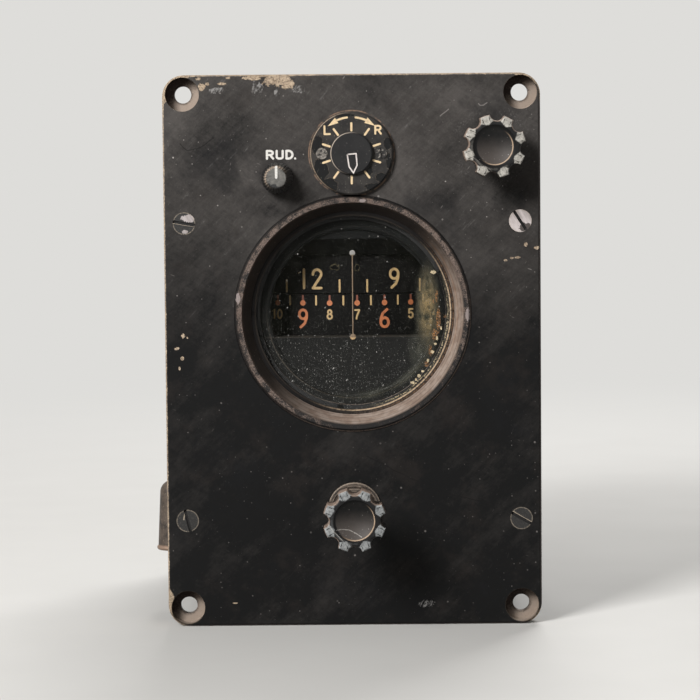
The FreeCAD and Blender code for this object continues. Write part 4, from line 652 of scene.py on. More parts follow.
# The dial's two small screws: black, rubbed to grey metal where a driver slipped
def dialScrewBlack():
    f = Finish("dialScrewBlack", (dialMid.x, 0, dialMid.z))
    fine = f.grain(2.4, 7, 0.76)
    broad = f.grain(0.9, 6, 0.7, 30, (2, 1, 1), 3)
    left = f.x.fade(2, -2)
    f.start(fine, tone(14, 13, 13), tone(40, 38, 37))
    bare = (broad + left * 0.1).fade(0.52, 0.64)
    f.lay(bare * 0.85, f.blend(fine.fade(0.35, 0.65), tone(96, 90, 84), tone(176, 168, 158)))
    return f.coated(0.4 + fine * 0.2, fine, 0.05, metal=bare * 0.3, shine=0.3)


# Lobed knobs: black moulding, the lobe faces worn grey, the edges rubbed coppery and more so on the upper
# left as painted light, the dish satin with painted shade at its top, painted light low down and a painted
# highlight on the lower right of its lip
knobLook = {
    # dish: the dish's colour low down, painted lit; lip: the colour of the painted highlight on its lip
    "black": tone(9, 9, 10), "copper": tone(150, 131, 118), "dish": tone(72, 66, 62),
    "lip": tone(196, 170, 144), "lobeCount": 8,
    "course_knob": {"padDark": tone(120, 116, 109), "padLight": tone(206, 201, 191), "lobeTurn": 18.0,
                    "dish": {"mouth": 7.5, "radius": 6.5, "depth": 1.1, "sag": 1.3}, "marks": []},
    "caging_knob": {"padDark": tone(92, 93, 93), "padLight": tone(172, 174, 173), "lobeTurn": 22.5,
                    "dish": {"mouth": 7.3, "radius": 7.0, "depth": 0.9, "sag": 1.7},
                    "marks": [(-11.2, 1.4, -7.8, -3.6), (-7.8, -3.6, -4.6, -7.2), (-6.6, -3.4, -2.2, -3.6),
                              (-2.2, -3.6, 2.4, -6.0)]},
}


def knobBlack(node):
    look = knobLook
    own = look[node]
    middle = middleOf(node)
    f = Finish("black" + "".join(part.capitalize() for part in node.split("_")),
               (middle.x, frontOf(node), middle.z))
    distance = f.around()
    fine = f.grain(1.5, 7, 0.76)
    coarse = f.grain(0.45, 7, 0.74, shift=5)
    lobe = f.lobes(look["lobeCount"], own["lobeTurn"])
    flat = f.y.fade(0.55, 0.15)
    pad = flat * (distance + lobe * 0.9 + (coarse - 0.5) * 2.2).fade(8.75, 9.25)
    rounded = f.y.fade(0.05, 0.35) * f.y.fade(2.8, 0.8) * distance.fade(8.4, 9.4)
    # coppery rubbed edges, real wear, laid more on the upper left as painted light
    rubbed = rounded * (coarse * 0.8 + fine * 0.5 + f.toward(130) * 0.2).fade(0.48, 0.68)
    # coppery sides between the lobes, real metal showing through, laid more on the upper left as painted
    # light
    sides = distance.fade(8.4, 9.2) * f.y.fade(0.6, 1.6) * f.y.fade(11, 5)
    sides = sides * (coarse + f.toward(140) * 0.16).fade(0.4, 0.54) * 0.9
    radius = own["dish"]["radius"]
    f.start(fine, look["black"], tone(20, 19, 19))
    f.lay(sides.most(rubbed), look["copper"])
    f.lay(pad, f.blend((fine * 0.8 + coarse * 0.7).fade(0.5, 0.95), own["padDark"], own["padLight"]))
    ring = flat * distance.near(8.3, 0.7) * f.toward(-120).fade(-0.2, 0.8) * coarse.fade(0.4, 0.56)
    f.lay(ring * 0.5, own["padDark"])
    dish = distance.fade(radius + 0.05, radius - 0.2)
    # painted shade and light in the dish: near black at the top, lighter low down
    dishShadeAndLight = f.blend(f.z.fade(5, -5) + (coarse - 0.5) * 0.5, tone(12, 12, 12), look["dish"])
    f.lay(dish, dishShadeAndLight)
    # painted highlight on the lower right of the dish's lip
    lip = distance.near(radius + 0.12, 0.32) * f.toward(-40).fade(-0.2, 0.8)
    f.lay(lip * (fine * 0.7 + 0.55), look["lip"])
    marks = f.specks(1.0, 0.3, 0.13) * dish * f.z.fade(-1, -4)
    marks = f.strongest([marks, f.scratches(-38, 0.35, 0.014, 0.45, 3) * 0.3,
                         f.specks(0.6, 0.16, 0.09, 4) * 0.4])
    if own["marks"]:
        marks = marks.most(f.lines(own["marks"], 0.24, 0.35) * fine.fade(0.36, 0.54) * 0.42)
    f.lay(marks, tone(206, 200, 192))
    rough = 0.44 + pad * 0.12 + fine * 0.16 + rubbed * 0.1
    return f.coated(rough, fine * (0.2 + pad), 0.08, shine=0.22)


# Index knob: face worn grey with black chips low down, ridges worn bright by fingers and shown mostly on
# their upper left as a painted highlight
indexLook = {
    "black": tone(16, 16, 16), "faceDark": tone(66, 64, 61), "faceLight": tone(116, 113, 107),
    "ridge": tone(200, 180, 160), "faceRadius": 3.9,
    "chips": [(-1.0, -2.9, 1.3, 0.8), (0.8, -3.6, 1.6, 0.6), (-2.6, -2.6, 0.6, 0.8)],
}


def smallKnobBlack():
    look = indexLook
    front = frontOf("rudder_knob")
    f = Finish("smallKnobBlack", (rudderMid.x, front, rudderMid.z))
    distance = f.around()
    fine = f.grain(1.8, 7, 0.74)
    coarse = f.grain(0.5, 5, 0.7, shift=3)
    face = f.y.fade(0.5, 0.15) * distance.fade(look["faceRadius"] + 0.15, look["faceRadius"] - 0.1)
    f.start(fine, look["black"], tone(34, 32, 31))
    # ridges worn bright by fingers, shown mostly on the upper left as a painted highlight
    ridges = f.y.fade(0.3, 0.8) * f.y.fade(5.5, 1.5) * f.toward(135).fade(-0.5, 0.7) * fine.fade(0.32, 0.5)
    f.lay(ridges * 0.85, look["ridge"])
    f.lay(face, f.blend(coarse.fade(0.3, 0.7), look["faceDark"], look["faceLight"]))
    chips = f.patches(look["chips"], 1.3, 0.9, 2) * face
    f.lay(chips, tone(12, 12, 12))
    return f.coated(0.36 + fine * 0.25, fine - chips * 0.5, 0.05)


# Turned fittings: blackened brass gone brown, with rubbed edges and the inlet's coppery lip
fittingLook = {
    "dark": tone(42, 36, 32), "mid": tone(92, 80, 70), "light": tone(176, 160, 144),
    "copper": tone(146, 122, 104), "lipTop": -78.2,
    # worn rings of the caging knob's base, as (radius, half width, strength)
    "rings": [(9.65, 0.3, 0.7), (7.4, 0.22, 0.55), (6.7, 0.25, 0.5), (8.6, 0.2, 0.35)],
}


def fittingMetal():
    look = fittingLook
    f = Finish("fittingMetal")
    fine = f.grain(1.4, 7, 0.74)
    broad = f.grain(0.22, 6, 0.66, shift=3)
    knob = middleOf("caging_knob")
    inlet = middleOf("inlet_elbow")
    f.start(broad.fade(0.36, 0.64), look["dark"], look["mid"])
    f.lay(fine.fade(0.56, 0.74), look["light"])
    fromKnob = f.fromSpot(knob.x, knob.z)
    for radius, wide, strength in look["rings"]:
        f.lay(fromKnob.near(radius, wide) * fine.fade(0.25, 0.5) * strength, look["light"])
    lip = f.z.fade(look["lipTop"], look["lipTop"] - 0.7) * f.x.fade(-60, -64)
    f.lay(lip * (fine + 0.45), look["copper"])
    grime = f.grain(0.4, 6, 0.75, shift=9).fade(0.56, 0.66) * (f.x - inlet.x).near(0, 9)
    f.lay(grime * 0.6, tone(38, 31, 27))
    return f.coated(0.36 + fine * 0.3, fine, 0.08, metal=0.35)


# Case: black crackle finish, chipped here and there
def caseBlack():
    f = Finish("caseBlack")
    cell = f.node("ShaderNodeTexVoronoi", {"feature": "DISTANCE_TO_EDGE"},
                  {"Vector": f.laid(), "Scale": 0.9})
    ridge = cell.fade(0.0, 0.16)
    fine = f.grain(2.2, 5, 0.7)
    broad = f.grain(0.04, 4, 0.6)
    f.start(ridge, tone(24, 24, 25), tone(46, 45, 44))
    f.lay(broad.fade(0.5, 0.75) * 0.5, tone(66, 62, 57))
    chips = f.grain(0.3, 7, 0.78, shift=9).fade(0.67, 0.70)
    f.lay(chips, tone(150, 142, 130))
    return f.coated(0.5 + fine * 0.15, ridge * 0.7 + fine * 0.2 - chips * 0.5, 0.12)


def machined(name, dark, light, stretch=(1, 1, 1), scale=1.2, metal=1.0, rough=0.3):
    f = Finish(name)
    fine = f.grain(scale, 6, 0.72, 0, stretch)
    broad = f.grain(0.12, 5, 0.6, shift=4)
    stain = f.grain(0.3, 6, 0.72, shift=8).fade(0.58, 0.7)
    f.start(fine.fade(0.3, 0.7), dark, light)
    f.lay(broad.fade(0.5, 0.75) * 0.5, dimmed(dark, 0.55))
    f.lay(stain * 0.4, dimmed(dark, 0.3))
    return f.coated(rough + broad * 0.2 + stain * 0.2, fine, 0.03, metal=metal)


def rubberBlack():
    f = Finish("rubberBlack")
    fine = f.grain(2.0, 5, 0.7)
    f.start(fine, tone(16, 16, 16), tone(30, 29, 28))
    return f.coated(0.7 + fine * 0.15, fine, 0.06)


cream = paint("creamPaint", tone(202, 170, 118), tone(120, 96, 66), 0.5)
orange = paint("orangePaint", tone(200, 120, 74), tone(124, 70, 44), 0.5)
stem = paint("stemPaint", tone(132, 74, 54), tone(84, 46, 34))
white = paint("whitePaint", tone(234, 230, 222), tone(170, 164, 154), 0.25)
dialInk = paint("dialInk", tone(240, 212, 168), tone(150, 128, 96), 0.3)
pointerInk = paint("pointerInk", tone(228, 218, 212), tone(120, 114, 108), 0.3)


# Lubber wire: dull tan, its upper dot grey-white and its lower dot cream
def wirePaint():
    f = Finish("wirePaint")
    low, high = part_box("lubber_line")
    fine = f.grain(1.9, 5, 0.7)
    f.start(fine, tone(100, 82, 64), tone(140, 118, 92))
    f.lay(f.z.fade(high.z / mm - 2.0, high.z / mm - 1.4), tone(156, 153, 148))
    f.lay(f.z.fade(low.z / mm + 2.0, low.z / mm + 1.4), tone(200, 166, 122))
    return f.coated(0.5 + fine * 0.2, fine, 0.05)


bySlot = {
    "black_lacquer": blackLacquer(),
    "plate_screw_steel": screwSteel(),
    "bezel_lacquer": bezelLacquer(),
    "retaining_metal": retainingMetal(),
    "glass": windowGlass(),
    "rubber": rubberBlack(),
    "mask_black": maskBlack(),
    "cream_paint": wirePaint(),
    "card_black": cardBlack(),
    "dial_black": dialBlack(),
    "small_knob_black": smallKnobBlack(),
    "fitting_metal": fittingMetal(),
    "case_black": caseBlack(),
    "aluminium": machined("alloy", tone(150, 150, 150), tone(196, 196, 194), (5, 1, 1)),
    "brass": machined("brass", tone(158, 126, 70), tone(206, 172, 106)),
    "rotor_brass": machined("rotorBrass", tone(140, 112, 66), tone(188, 158, 104), (1, 6, 1)),
    "steel": machined("steel", tone(120, 120, 122), tone(172, 172, 174), (3, 1, 1)),
}
byNode = {
    "course_knob": knobBlack("course_knob"),
    "caging_knob": knobBlack("caging_knob"),
    "dial_screws": dialScrewBlack(),
}
slotOf = {s["node"]: s["material_slot"] for s in frame["record"]["subparts"]}
for name, piece in nodes.items():
    look = byNode.get(name) or bySlot[slotOf[name]]
    if not piece.material_slots:
        piece.data.materials.append(look)
    for slot in piece.material_slots:
        slot.material = look
print("finishes:", len(bpy.data.materials))


def onCircle(radius, angle):
    return (radius * math.cos(angle), radius * math.sin(angle))


def pickOnly(piece):
    bpy.ops.object.select_all(action="DESELECT")
    bpy.context.view_layer.objects.active = piece
    piece.select_set(True)


# Lobed knobs: each stands for its CAD node, with its lobes turned to where the photograph has them
gripLook = {
    "radius": 11.5, "fluteRadius": 2.6, "fluteAt": 11.9, "soften": 1.9, "points": 24, "round": 0.9,
    "length": 11.5, "lip": 0.4, "hubRadius": 6.6, "hubLength": 5.5, "boreRadius": 3.2,
    "boreFrom": 5.0, "screwRadius": 1.2, "bevel": 0.5,
}


def lobedOutline(angles, count, start):
    # points round the knob, with a flute at the start angle and its repeats
    s = gripLook
    pitch = 2 * math.pi / count
    points = []
    for angle in angles:
        away = abs((angle - start + pitch / 2) % pitch - pitch / 2)
        within = s["fluteRadius"] ** 2 - (s["fluteAt"] * math.sin(away)) ** 2
        flute = s["fluteAt"] * math.cos(away) - math.sqrt(within) if within > 0 else s["fluteAt"] * 2
        soft = max(s["soften"] - abs(flute - s["radius"]), 0) / s["soften"]
        reach = min(flute, s["radius"]) - soft * soft * s["soften"] / 4
        points.append(Vector(onCircle(reach, angle)))
    return points


def inward(points, distance):
    moved = []
    for i, here in enumerate(points):
        along = (points[(i + 1) % len(points)] - points[i - 1]).normalized()
        moved.append(here + Vector((-along.y, along.x)) * distance)
    return moved


def makeGrip(name, node, body):
    s = gripLook
    dish = knobLook[node]["dish"]
    count = knobLook["lobeCount"]
    start = math.radians(knobLook[node]["lobeTurn"]) + math.pi / count
    total = count * s["points"]
    angles = [start + 2 * math.pi * i / total for i in range(total)]
    outline = lobedOutline(angles, count, start)
    middle = middleOf(node)
    front = frontOf(node)
    back = front + s["length"]
    end = back + s["hubLength"]

    def circle(radius):
        return [Vector(onCircle(radius, a)) for a in angles]

    rings = [(circle(s["boreRadius"]), front + s["boreFrom"]), (circle(s["boreRadius"]), end),
             (circle(s["hubRadius"] - s["bevel"]), end), (circle(s["hubRadius"]), end - s["bevel"]),
             (circle(s["hubRadius"]), back), (inward(outline, s["bevel"]), back),
             (outline, back - s["bevel"])]
    for step in range(6):
        turn = math.pi / 2 * step / 5
        rings.append((inward(outline, s["round"] * (1 - math.cos(turn))),
                      front + s["round"] * (1 - math.sin(turn))))
    rings += [(circle(dish["mouth"] + s["lip"]), front), (circle(dish["mouth"]), front + s["lip"]),
              (circle(dish["radius"] + 0.25), front + dish["depth"] - 0.1)]
    for share in (1, 0.92, 0.8, 0.65, 0.5, 0.35, 0.2, 0.06):
        sag = dish["sag"] * (1 - share * share)
        rings.append((circle(dish["radius"] * share), front + dish["depth"] + sag))
    corners = [Vector((middle.x + p.x, y, middle.z + p.y)) * mm for ring, y in rings for p in ring]
    faces = [tuple(range(total)), tuple(range(len(corners) - total, len(corners)))]
    for row in range(len(rings) - 1):
        for i in range(total):
            after = (i + 1) % total
            faces.append((row * total + i, row * total + after, (row + 1) * total + after,
                          (row + 1) * total + i))
    mesh = bpy.data.meshes.new(name)
    mesh.from_pydata(corners, [], faces)
    piece = bpy.data.objects.new(name, mesh)
    bpy.context.scene.collection.objects.link(piece)

    bpy.ops.object.select_all(action="DESELECT")
    depth = s["hubRadius"] + 2
    bpy.ops.mesh.primitive_cylinder_add(vertices=32, radius=s["screwRadius"] * mm, depth=depth * mm,
                                        location=(middle.x * mm, (back + end) / 2 * mm,
                                                  (middle.z - depth / 2) * mm))
    drill = bpy.context.object
    pickOnly(piece)
    bpy.ops.object.mode_set(mode="EDIT")
    bpy.ops.mesh.select_all(action="SELECT")
    bpy.ops.mesh.normals_make_consistent(inside=False)
    bpy.ops.object.mode_set(mode="OBJECT")
    hole = piece.modifiers.new("screwHole", "BOOLEAN")
    hole.operation = "DIFFERENCE"
    hole.object = drill
    bpy.ops.object.modifier_apply(modifier=hole.name)
    bpy.data.objects.remove(drill, do_unlink=True)
    bpy.ops.object.shade_smooth_by_angle(angle=math.radians(32))
    piece.data.materials.clear()
    piece.data.materials.append(byNode[node])
    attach(piece, body)
    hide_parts(node)


makeGrip("course_grip", "course_knob", "course")
makeGrip("caging_grip", "caging_knob", "caging")
print("lobed knobs done")


# Lubber line: a straight wire between two painted dots, standing for its CAD node
lubberLook = {"wire": 0.24, "dot": 1.1, "thick": 0.45, "foot": (0, 2.37, 4.7), "head": (0, 8.46, 36.0)}


def makeLubber():
    s = lubberLook
    ends = [Vector(s["foot"]), Vector(s["head"])]
    bpy.ops.object.select_all(action="DESELECT")
    parts = []
    for end in ends:
        bpy.ops.mesh.primitive_cylinder_add(vertices=48, radius=s["dot"] * mm, depth=s["thick"] * mm,
                                            location=end * mm, rotation=(math.pi / 2, 0, 0))
        parts.append(bpy.context.object)
        bpy.ops.object.mode_set(mode="EDIT")
        bpy.ops.mesh.bevel(offset=0.12 * mm, segments=3)
        bpy.ops.object.mode_set(mode="OBJECT")
    run = ends[1] - ends[0]
    bpy.ops.mesh.primitive_cylinder_add(vertices=20, radius=s["wire"] * mm, depth=run.length * mm,
                                        location=(ends[0] + ends[1]) / 2 * mm,
                                        rotation=run.to_track_quat("Z", "Y").to_euler())
    wire = bpy.context.object
    for part in parts:
        part.select_set(True)
    bpy.ops.object.join()
    bpy.ops.object.transform_apply(location=True, rotation=True, scale=True)
    bpy.ops.object.shade_smooth_by_angle(angle=math.radians(40))
    wire.name = "lubber_wire"
    wire.data.materials.clear()
    wire.data.materials.append(bySlot["cream_paint"])
    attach(wire, "root")
    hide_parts("lubber_line")


makeLubber()


# Painted figures: every stroke is a strip with round ends, in the flat first
def arc(x, z, wide, high, start, end, steps=12):
    turns = [math.radians(start + (end - start) * i / steps) for i in range(steps + 1)]
    return [(x + wide * math.cos(a), z + high * math.sin(a)) for a in turns]


def split(points, sharp=50):
    # cuts a line where it turns sharply, so that each stroke keeps its width
    runs = [[points[0]]]
    for before, here, after in zip(points, points[1:], points[2:]):
        runs[-1].append(here)
        first = Vector((here[0] - before[0], here[1] - before[1]))
        second = Vector((after[0] - here[0], after[1] - here[1]))
        if math.degrees(first.angle(second)) > sharp:
            runs.append([here])
    runs[-1] += points[-1:] if len(points) > 1 else []
    return runs


def strip(points, width):
    # corners and faces of a strip of that width along the points
    reach = width / 2
    if len(points) == 1:
        x, z = points[0]
        return arc(x, z, reach, reach, 0, 342, 19), [tuple(range(20))]
    corners = []
    faces = []
    aims = []
    for i in range(len(points)):
        before = points[max(i - 1, 0)]
        after = points[min(i + 1, len(points) - 1)]
        aims.append(Vector((after[0] - before[0], after[1] - before[1])).normalized())
    for (x, z), aim in zip(points, aims):
        corners.append((x + aim.y * reach, z - aim.x * reach))
        corners.append((x - aim.y * reach, z + aim.x * reach))
    for i in range(len(points) - 1):
        faces.append((2 * i, 2 * i + 2, 2 * i + 3, 2 * i + 1))
    for index, side in ((0, 1), (len(points) - 1, -1)):
        start = math.degrees(math.atan2(aims[index].y, aims[index].x)) + side * 90
        first = len(corners)
        corners += arc(*points[index], reach, reach, start, start + 180, 8)[1:8]
        ends = (2 * index + 1, 2 * index) if side > 0 else (2 * index, 2 * index + 1)
        faces.append((ends[0], *range(first, first + 7), ends[1]))
    return corners, faces


def between(points, step):
    # the same line with points no further apart than step
    close = [points[0]]
    for (x0, z0), (x1, z1) in zip(points, points[1:]):
        parts = max(1, math.ceil(math.hypot(x1 - x0, z1 - z0) / step))
        close += [(x0 + (x1 - x0) * k / parts, z0 + (z1 - z0) * k / parts) for k in range(1, parts + 1)]
    return close


# Digits and letters one unit high, drawn about their own centre line
figures = {
    "0": [arc(0, 0.5, 0.23, 0.5, 0, 360, 24)],
    "1": [[(0, 0), (0, 1)]],
    "2": [arc(0, 0.76, 0.23, 0.24, 185, -30, 14) + [(-0.23, 0), (0.23, 0)]],
    "3": [arc(0, 0.76, 0.21, 0.24, 150, -90) + arc(0, 0.26, 0.23, 0.26, 90, -150)[1:]],
    "4": [[(0.06, 1), (-0.25, 0.3), (0.25, 0.3)], [(0.1, 0.58), (0.1, 0)]],
    "5": [[(0.2, 1), (-0.17, 1), (-0.19, 0.55)] + arc(0, 0.31, 0.23, 0.31, 130, -150)[1:]],
    "6": [arc(0, 0.26, 0.23, 0.26, 180, 540, 20) + [(-0.21, 0.5), (-0.1, 0.78), (0.14, 1)]],
    "7": [[(-0.22, 1), (0.22, 1), (0.08, 0.62), (-0.03, 0.3), (-0.07, 0)]],
    "8": [arc(0, 0.77, 0.18, 0.23, -90, 270, 18), arc(0, 0.27, 0.23, 0.27, 90, 450, 20)],
    "9": [arc(0, 0.74, 0.23, 0.26, 0, 360, 20) + [(0.21, 0.5), (0.1, 0.22), (-0.14, 0)]],
    "L": [[(-0.22, 1), (-0.22, 0), (0.23, 0)]],
    "R": [[(-0.23, 0), (-0.23, 1), (0, 1)] + arc(0, 0.74, 0.23, 0.26, 90, -90)[1:] + [(-0.2, 0.48)],
          [(0.02, 0.48), (0.24, 0)]],
    "U": [[(-0.23, 1), (-0.23, 0.22)] + arc(0, 0.22, 0.23, 0.22, 180, 360)[1:] + [(0.23, 1)]],
    "D": [[(-0.23, 0), (-0.23, 1), (-0.06, 1)] + arc(-0.06, 0.5, 0.29, 0.5, 90, -90)[1:] + [(-0.23, 0)]],
    ".": [[(0, 0)]],
}
ownWidth = {"1": 0.02, ".": -0.18}


def word(text, x, style):
    # strokes of a word centred at x; the height is over the paint
    stroke = style["stroke"]
    wide = style.get("wide", 1)
    gap = style["gap"]
    base = style["foot"] + stroke / 2
    tall = style["height"] - stroke
    widths = [ownWidth.get(c, 0.46) * wide for c in text]
    strokes = []
    left = -(sum(widths) + gap * (len(text) - 1)) / 2
    for c, own in zip(text, widths):
        middle = left + own / 2
        for line in figures[c]:
            strokes.append(([(x + (middle + u * wide) * tall, base + v * tall) for u, v in line], stroke))
        if c == "1":
            flag = [(x + (middle + u) * tall, base + v * tall) for u, v in ((-0.31, 0.81), (-0.19, 0.87))]
            strokes.append((flag, stroke * 0.4))
        left += own + gap
    return strokes


def painted(name, strokes, place, look, body, thick=0.07, fills=()):
    # strokes and filled shapes laid on a surface; place turns (x, z, lift) into a point
    corners = []
    faces = []
    runs = [(run, width) for line, width in strokes for run in split(line)]
    for number, (line, width) in enumerate(runs):
        lift = thick + 0.004 * (number % 4)
        flat, own = strip(between(line, 0.8) if len(line) > 1 else line, width)
        faces += [tuple(i + len(corners) for i in face) for face in own]
        corners += [place(x, z, lift) for x, z in flat]
    for shape in fills:
        faces.append(tuple(range(len(corners), len(corners) + len(shape))))
        corners += [place(x, z, thick + 0.002) for x, z in shape]
    mesh = bpy.data.meshes.new(name)
    mesh.from_pydata([Vector(c) * mm for c in corners], [], faces)
    piece = bpy.data.objects.new(name, mesh)
    bpy.context.scene.collection.objects.link(piece)
    pickOnly(piece)
    shell = piece.modifiers.new("thickness", "SOLIDIFY")
    shell.thickness = (thick + 0.02) * mm
    shell.offset = -1
    bpy.ops.object.modifier_apply(modifier=shell.name)
    piece.data.materials.append(look)
    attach(piece, body)
    return piece


def upright(foot, head, width):
    return [([(0, foot), (0, head)], width)]


def onCard(x, z, lift):
    # lays flat marks round the number card, with x measured along the card from its front
    out = cardRadius + lift
    return (cardMid.x + out * math.sin(x / cardRadius), cardMid.y - out * math.cos(x / cardRadius), z)


def onFront(y, x0=0, z0=0):
    def place(x, z, lift):
        return (x0 + x, y - lift, z0 + z)
    return place


def gather(items):
    # joins lists of strokes made for different angles into one, with x in millimetres of card
    joined = []
    for degrees, strokes in items:
        shift = math.radians(degrees) * cardRadius
        joined += [([(x + shift, z) for x, z in line], width) for line, width in strokes]
    return joined


# Upper card: a number every 30 degrees and a tick every 10
upperCard = {
    "reads": 105.3, "tick": (21.2, 25.6, 0.68),
    "number": {"foot": 22.1, "height": 8.0, "stroke": 0.98, "gap": 0.5},
}


def upperFigures():
    s = upperCard
    items = []
    for heading in range(0, 360, 10):
        at = s["reads"] - heading
        if heading % 30 == 0:
            items.append((at, word(str(heading // 10), 0, s["number"])))
        else:
            items.append((at, upright(*s["tick"])))
    painted("follow_up_figures", gather(items), onCard, cream, "follow_up")


# Lower card: a number every 10 degrees, larger and orange at each 30, with orange stems and blobs
lowerCard = {
    # ticks and stems as (foot, head, width)
    "reads": 71.6, "tick": (16.3, 19.5, 0.68), "stem": (17.4, 19.6, 0.74), "blob": 16.9, "blobWidth": 2.1,
    "small": {"foot": 10.6, "height": 3.95, "stroke": 0.66, "gap": 0.44, "wide": 1.15},
    "large": {"foot": 7.2, "height": 7.6, "stroke": 1.02, "gap": 0.44},
}


def lowerFigures():
    s = lowerCard
    creamItems = []
    orangeItems = []
    stemItems = []
    for heading in range(0, 360, 5):
        at = s["reads"] - heading
        if heading % 10:
            creamItems.append((at, upright(*s["tick"])))
            continue
        stemItems.append((at, upright(*s["stem"])))
        orangeItems.append((at, [([(0, s["blob"])], s["blobWidth"])]))
        label = str(heading // 10)
        if heading % 30 == 0:
            orangeItems.append((at, word(label, 0, s["large"])))
        else:
            creamItems.append((at, word(label, 0, s["small"])))
    painted("compass_figures", gather(creamItems), onCard, cream, "azimuth")
    painted("compass_orange_figures", gather(orangeItems), onCard, orange, "azimuth")
    painted("compass_stems", gather(stemItems), onCard, stem, "azimuth", 0.05)


# Turn dial: ten ticks, two arcs with arrowheads, the L and R marks and the pointer's outline
dialMarks = {
    "ticks": 10, "tickIn": 8.45, "tickOut": 11.05, "tickWidth": 0.78, "arcRadius": 13.3, "arcFrom": 7,
    "arcTo": 24, "arcWidth": 0.75, "headLength": 4.0, "headHalf": 1.15, "letters": {"L": -8.95, "R": 9.8},
    "letter": {"foot": 6.8, "height": 3.6, "stroke": 0.72, "gap": 0, "wide": 1.5},
}


def dialFigures():
    s = dialMarks
    strokes = []
    heads = []
    for i in range(s["ticks"]):
        a = math.radians(90 + 360 * i / s["ticks"])
        strokes.append(([onCircle(s["tickIn"], a), onCircle(s["tickOut"], a)], s["tickWidth"]))
    for side in (-1, 1):
        sweep = arc(0, 0, s["arcRadius"], s["arcRadius"], 90 - side * s["arcFrom"], 90 - side * s["arcTo"],
                    10)
        strokes.append((sweep, s["arcWidth"]))
        end = Vector(sweep[-1])
        turned = math.radians(s["arcTo"] + math.degrees(s["headLength"] / s["arcRadius"])) * side
        tip = Vector((s["arcRadius"] * math.sin(turned), s["arcRadius"] * math.cos(turned)))
        across = Vector((end.y - tip.y, tip.x - end.x)).normalized() * s["headHalf"]
        heads.append([tuple(end + across), tuple(end - across), tuple(tip)])
    for text, x in s["letters"].items():
        strokes += word(text, x, s["letter"])
    painted("dial_marks", strokes, onFront(frontOf("turn_dial"), dialMid.x, dialMid.z), dialInk, "root",
            0.06, heads)


pointerMark = {"corners": [(-1.6, -0.4), (1.65, -0.1), (2.0, -4.4), (0.62, -7.2), (-0.95, -4.9)],
               "width": 0.5}


def pointerFigure():
    s = pointerMark
    strokes = [([a, b], s["width"]) for a, b in zip(s["corners"], s["corners"][1:] + s["corners"][:1])]
    painted("pointer_outline", strokes, onFront(frontOf("pointer_disc"), dialMid.x, dialMid.z), pointerInk,
            "pointer",
            0.05)


# The index knob's line, and the word over it
rudderMarks = {
    "text": "RUD.", "wordX": -26.3, "line": (0.3, 4.1, 0.95),
    "word": {"foot": 71.3, "height": 3.65, "stroke": 0.83, "gap": 0.5, "wide": 1.7},
}


def rudderFigures():
    s = rudderMarks
    onKnob = onFront(frontOf("rudder_knob"), rudderMid.x, rudderMid.z)
    painted("rudder_index", upright(*s["line"]), onKnob, white, "rudder", 0.05)
    painted("rudder_word", word(s["text"], s["wordX"], s["word"]), onFront(plateFront), white, "root",
            0.04)


upperFigures()
lowerFigures()
dialFigures()
pointerFigure()
rudderFigures()
print("painted figures done")


# Camera: a metre in front, a little above, as the photograph was taken
view = {"eye": (-1.3, plateFront - 1000, 69.0), "aim": (-1.19, plateFront, 0.525), "lens": 138.7,
        "roll": 0.49}


def setCamera():
    bpy.ops.object.camera_add()
    camera = bpy.context.object
    camera.name = "camera"
    eye = Vector(view["eye"]) * mm
    aim = Vector(view["aim"]) * mm
    roll = Matrix.Rotation(math.radians(-view["roll"]), 3, "Z")
    facing = (aim - eye).to_track_quat("-Z", "Y").to_matrix() @ roll
    camera.matrix_world = Matrix.Translation(eye) @ facing.to_4x4()
    camera.data.lens = view["lens"]
    camera.data.sensor_width = 36
    camera.data.clip_start = 0.01
    camera.data.clip_end = 50
    bpy.context.scene.camera = camera


# Stage: a pale floor that fades into the background, and soft lamps
stageLook = {
    "floor": tone(214, 212, 208), "dull": tone(96, 95, 93), "back": tone(222, 221, 218), "fadeFrom": 160,
    "fadeTo": 1200, "worldLight": 0.11, "floorRadius": 5.0,
}


def seenDirectly(tree):
    # 1 for rays that show the background itself: from the camera, in gloss and through glass
    path = tree.nodes.new("ShaderNodeLightPath")
    seen = path.outputs["Is Camera Ray"]
    for kind in ("Is Glossy Ray", "Is Transmission Ray"):
        either = tree.nodes.new("ShaderNodeMath")
        either.operation = "MAXIMUM"
        tree.links.new(seen, either.inputs[0])
        tree.links.new(path.outputs[kind], either.inputs[1])
        seen = either.outputs[0]
    return seen


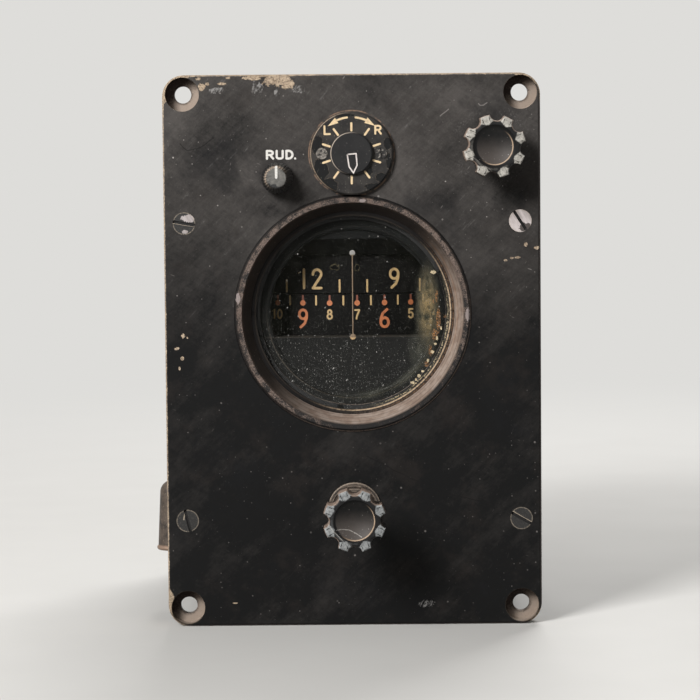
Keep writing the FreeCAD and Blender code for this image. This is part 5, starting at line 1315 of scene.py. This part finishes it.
def setStage():
    s = stageLook
    bpy.ops.mesh.primitive_circle_add(vertices=128, radius=s["floorRadius"], fill_type="NGON",
                                      location=(0, 0, cadLow.z))
    floor = bpy.context.object
    floor.name = "floor"
    f = Finish("paleFloor")
    far = (f.x * f.x + f.y * f.y).root().fade(s["fadeFrom"], s["fadeTo"])
    soft = f.grain(0.02, 3, 0.5)
    near = f.shader(colour=f.blend(soft, s["floor"], tone(208, 206, 202)), rough=0.75 + soft * 0.1,
                    shine=0.2)
    glow = f.node("ShaderNodeEmission", {}, {"Color": s["back"], "Strength": 1.0})
    shown = f.node("ShaderNodeMixShader", {}, {0: far, 1: near, 2: glow})
    dull = f.node("ShaderNodeBsdfDiffuse", {}, {"Color": s["dull"]})
    direct = Sock(f, seenDirectly(f.tree))
    floor.data.materials.append(f.done(f.node("ShaderNodeMixShader", {}, {0: direct, 1: dull, 2: shown})))

    world = bpy.data.worlds.new("softWorld")
    bpy.context.scene.world = world
    world.use_nodes = True
    tree = world.node_tree
    tree.nodes.clear()
    soft = tree.nodes.new("ShaderNodeBackground")
    soft.inputs[0].default_value = (1, 0.99, 0.97, 1)
    soft.inputs[1].default_value = s["worldLight"]
    back = tree.nodes.new("ShaderNodeBackground")
    back.inputs[0].default_value = (*s["back"], 1)
    choose = tree.nodes.new("ShaderNodeMixShader")
    out = tree.nodes.new("ShaderNodeOutputWorld")
    tree.links.new(seenDirectly(tree), choose.inputs[0])
    tree.links.new(soft.outputs[0], choose.inputs[1])
    tree.links.new(back.outputs[0], choose.inputs[2])
    tree.links.new(choose.outputs[0], out.inputs[0])


lamps = {
    "key": {"at": (-0.64, -0.98, 0.62), "aim": (0, 0, 0.01), "size": 0.42, "power": 21},
    "fill": {"at": (1.0, -1.4, 0.3), "aim": (0, 0, 0), "size": 1.1, "power": 2.5},
    "rim": {"at": (0.3, 1.3, 1.2), "aim": (0, 0.07, 0), "size": 0.9, "power": 26},
}


def setLamps():
    for name, s in lamps.items():
        bpy.ops.object.light_add(type="AREA", location=s["at"])
        lamp = bpy.context.object
        lamp.name = name
        lamp.data.size = s["size"]
        lamp.data.energy = s["power"]
        lamp.rotation_euler = (Vector(s["aim"]) - Vector(s["at"])).to_track_quat("-Z", "Y").to_euler()


setCamera()
setStage()
setLamps()
bpy.context.scene.view_settings.view_transform = "Standard"
print("camera, stage and lamps set")
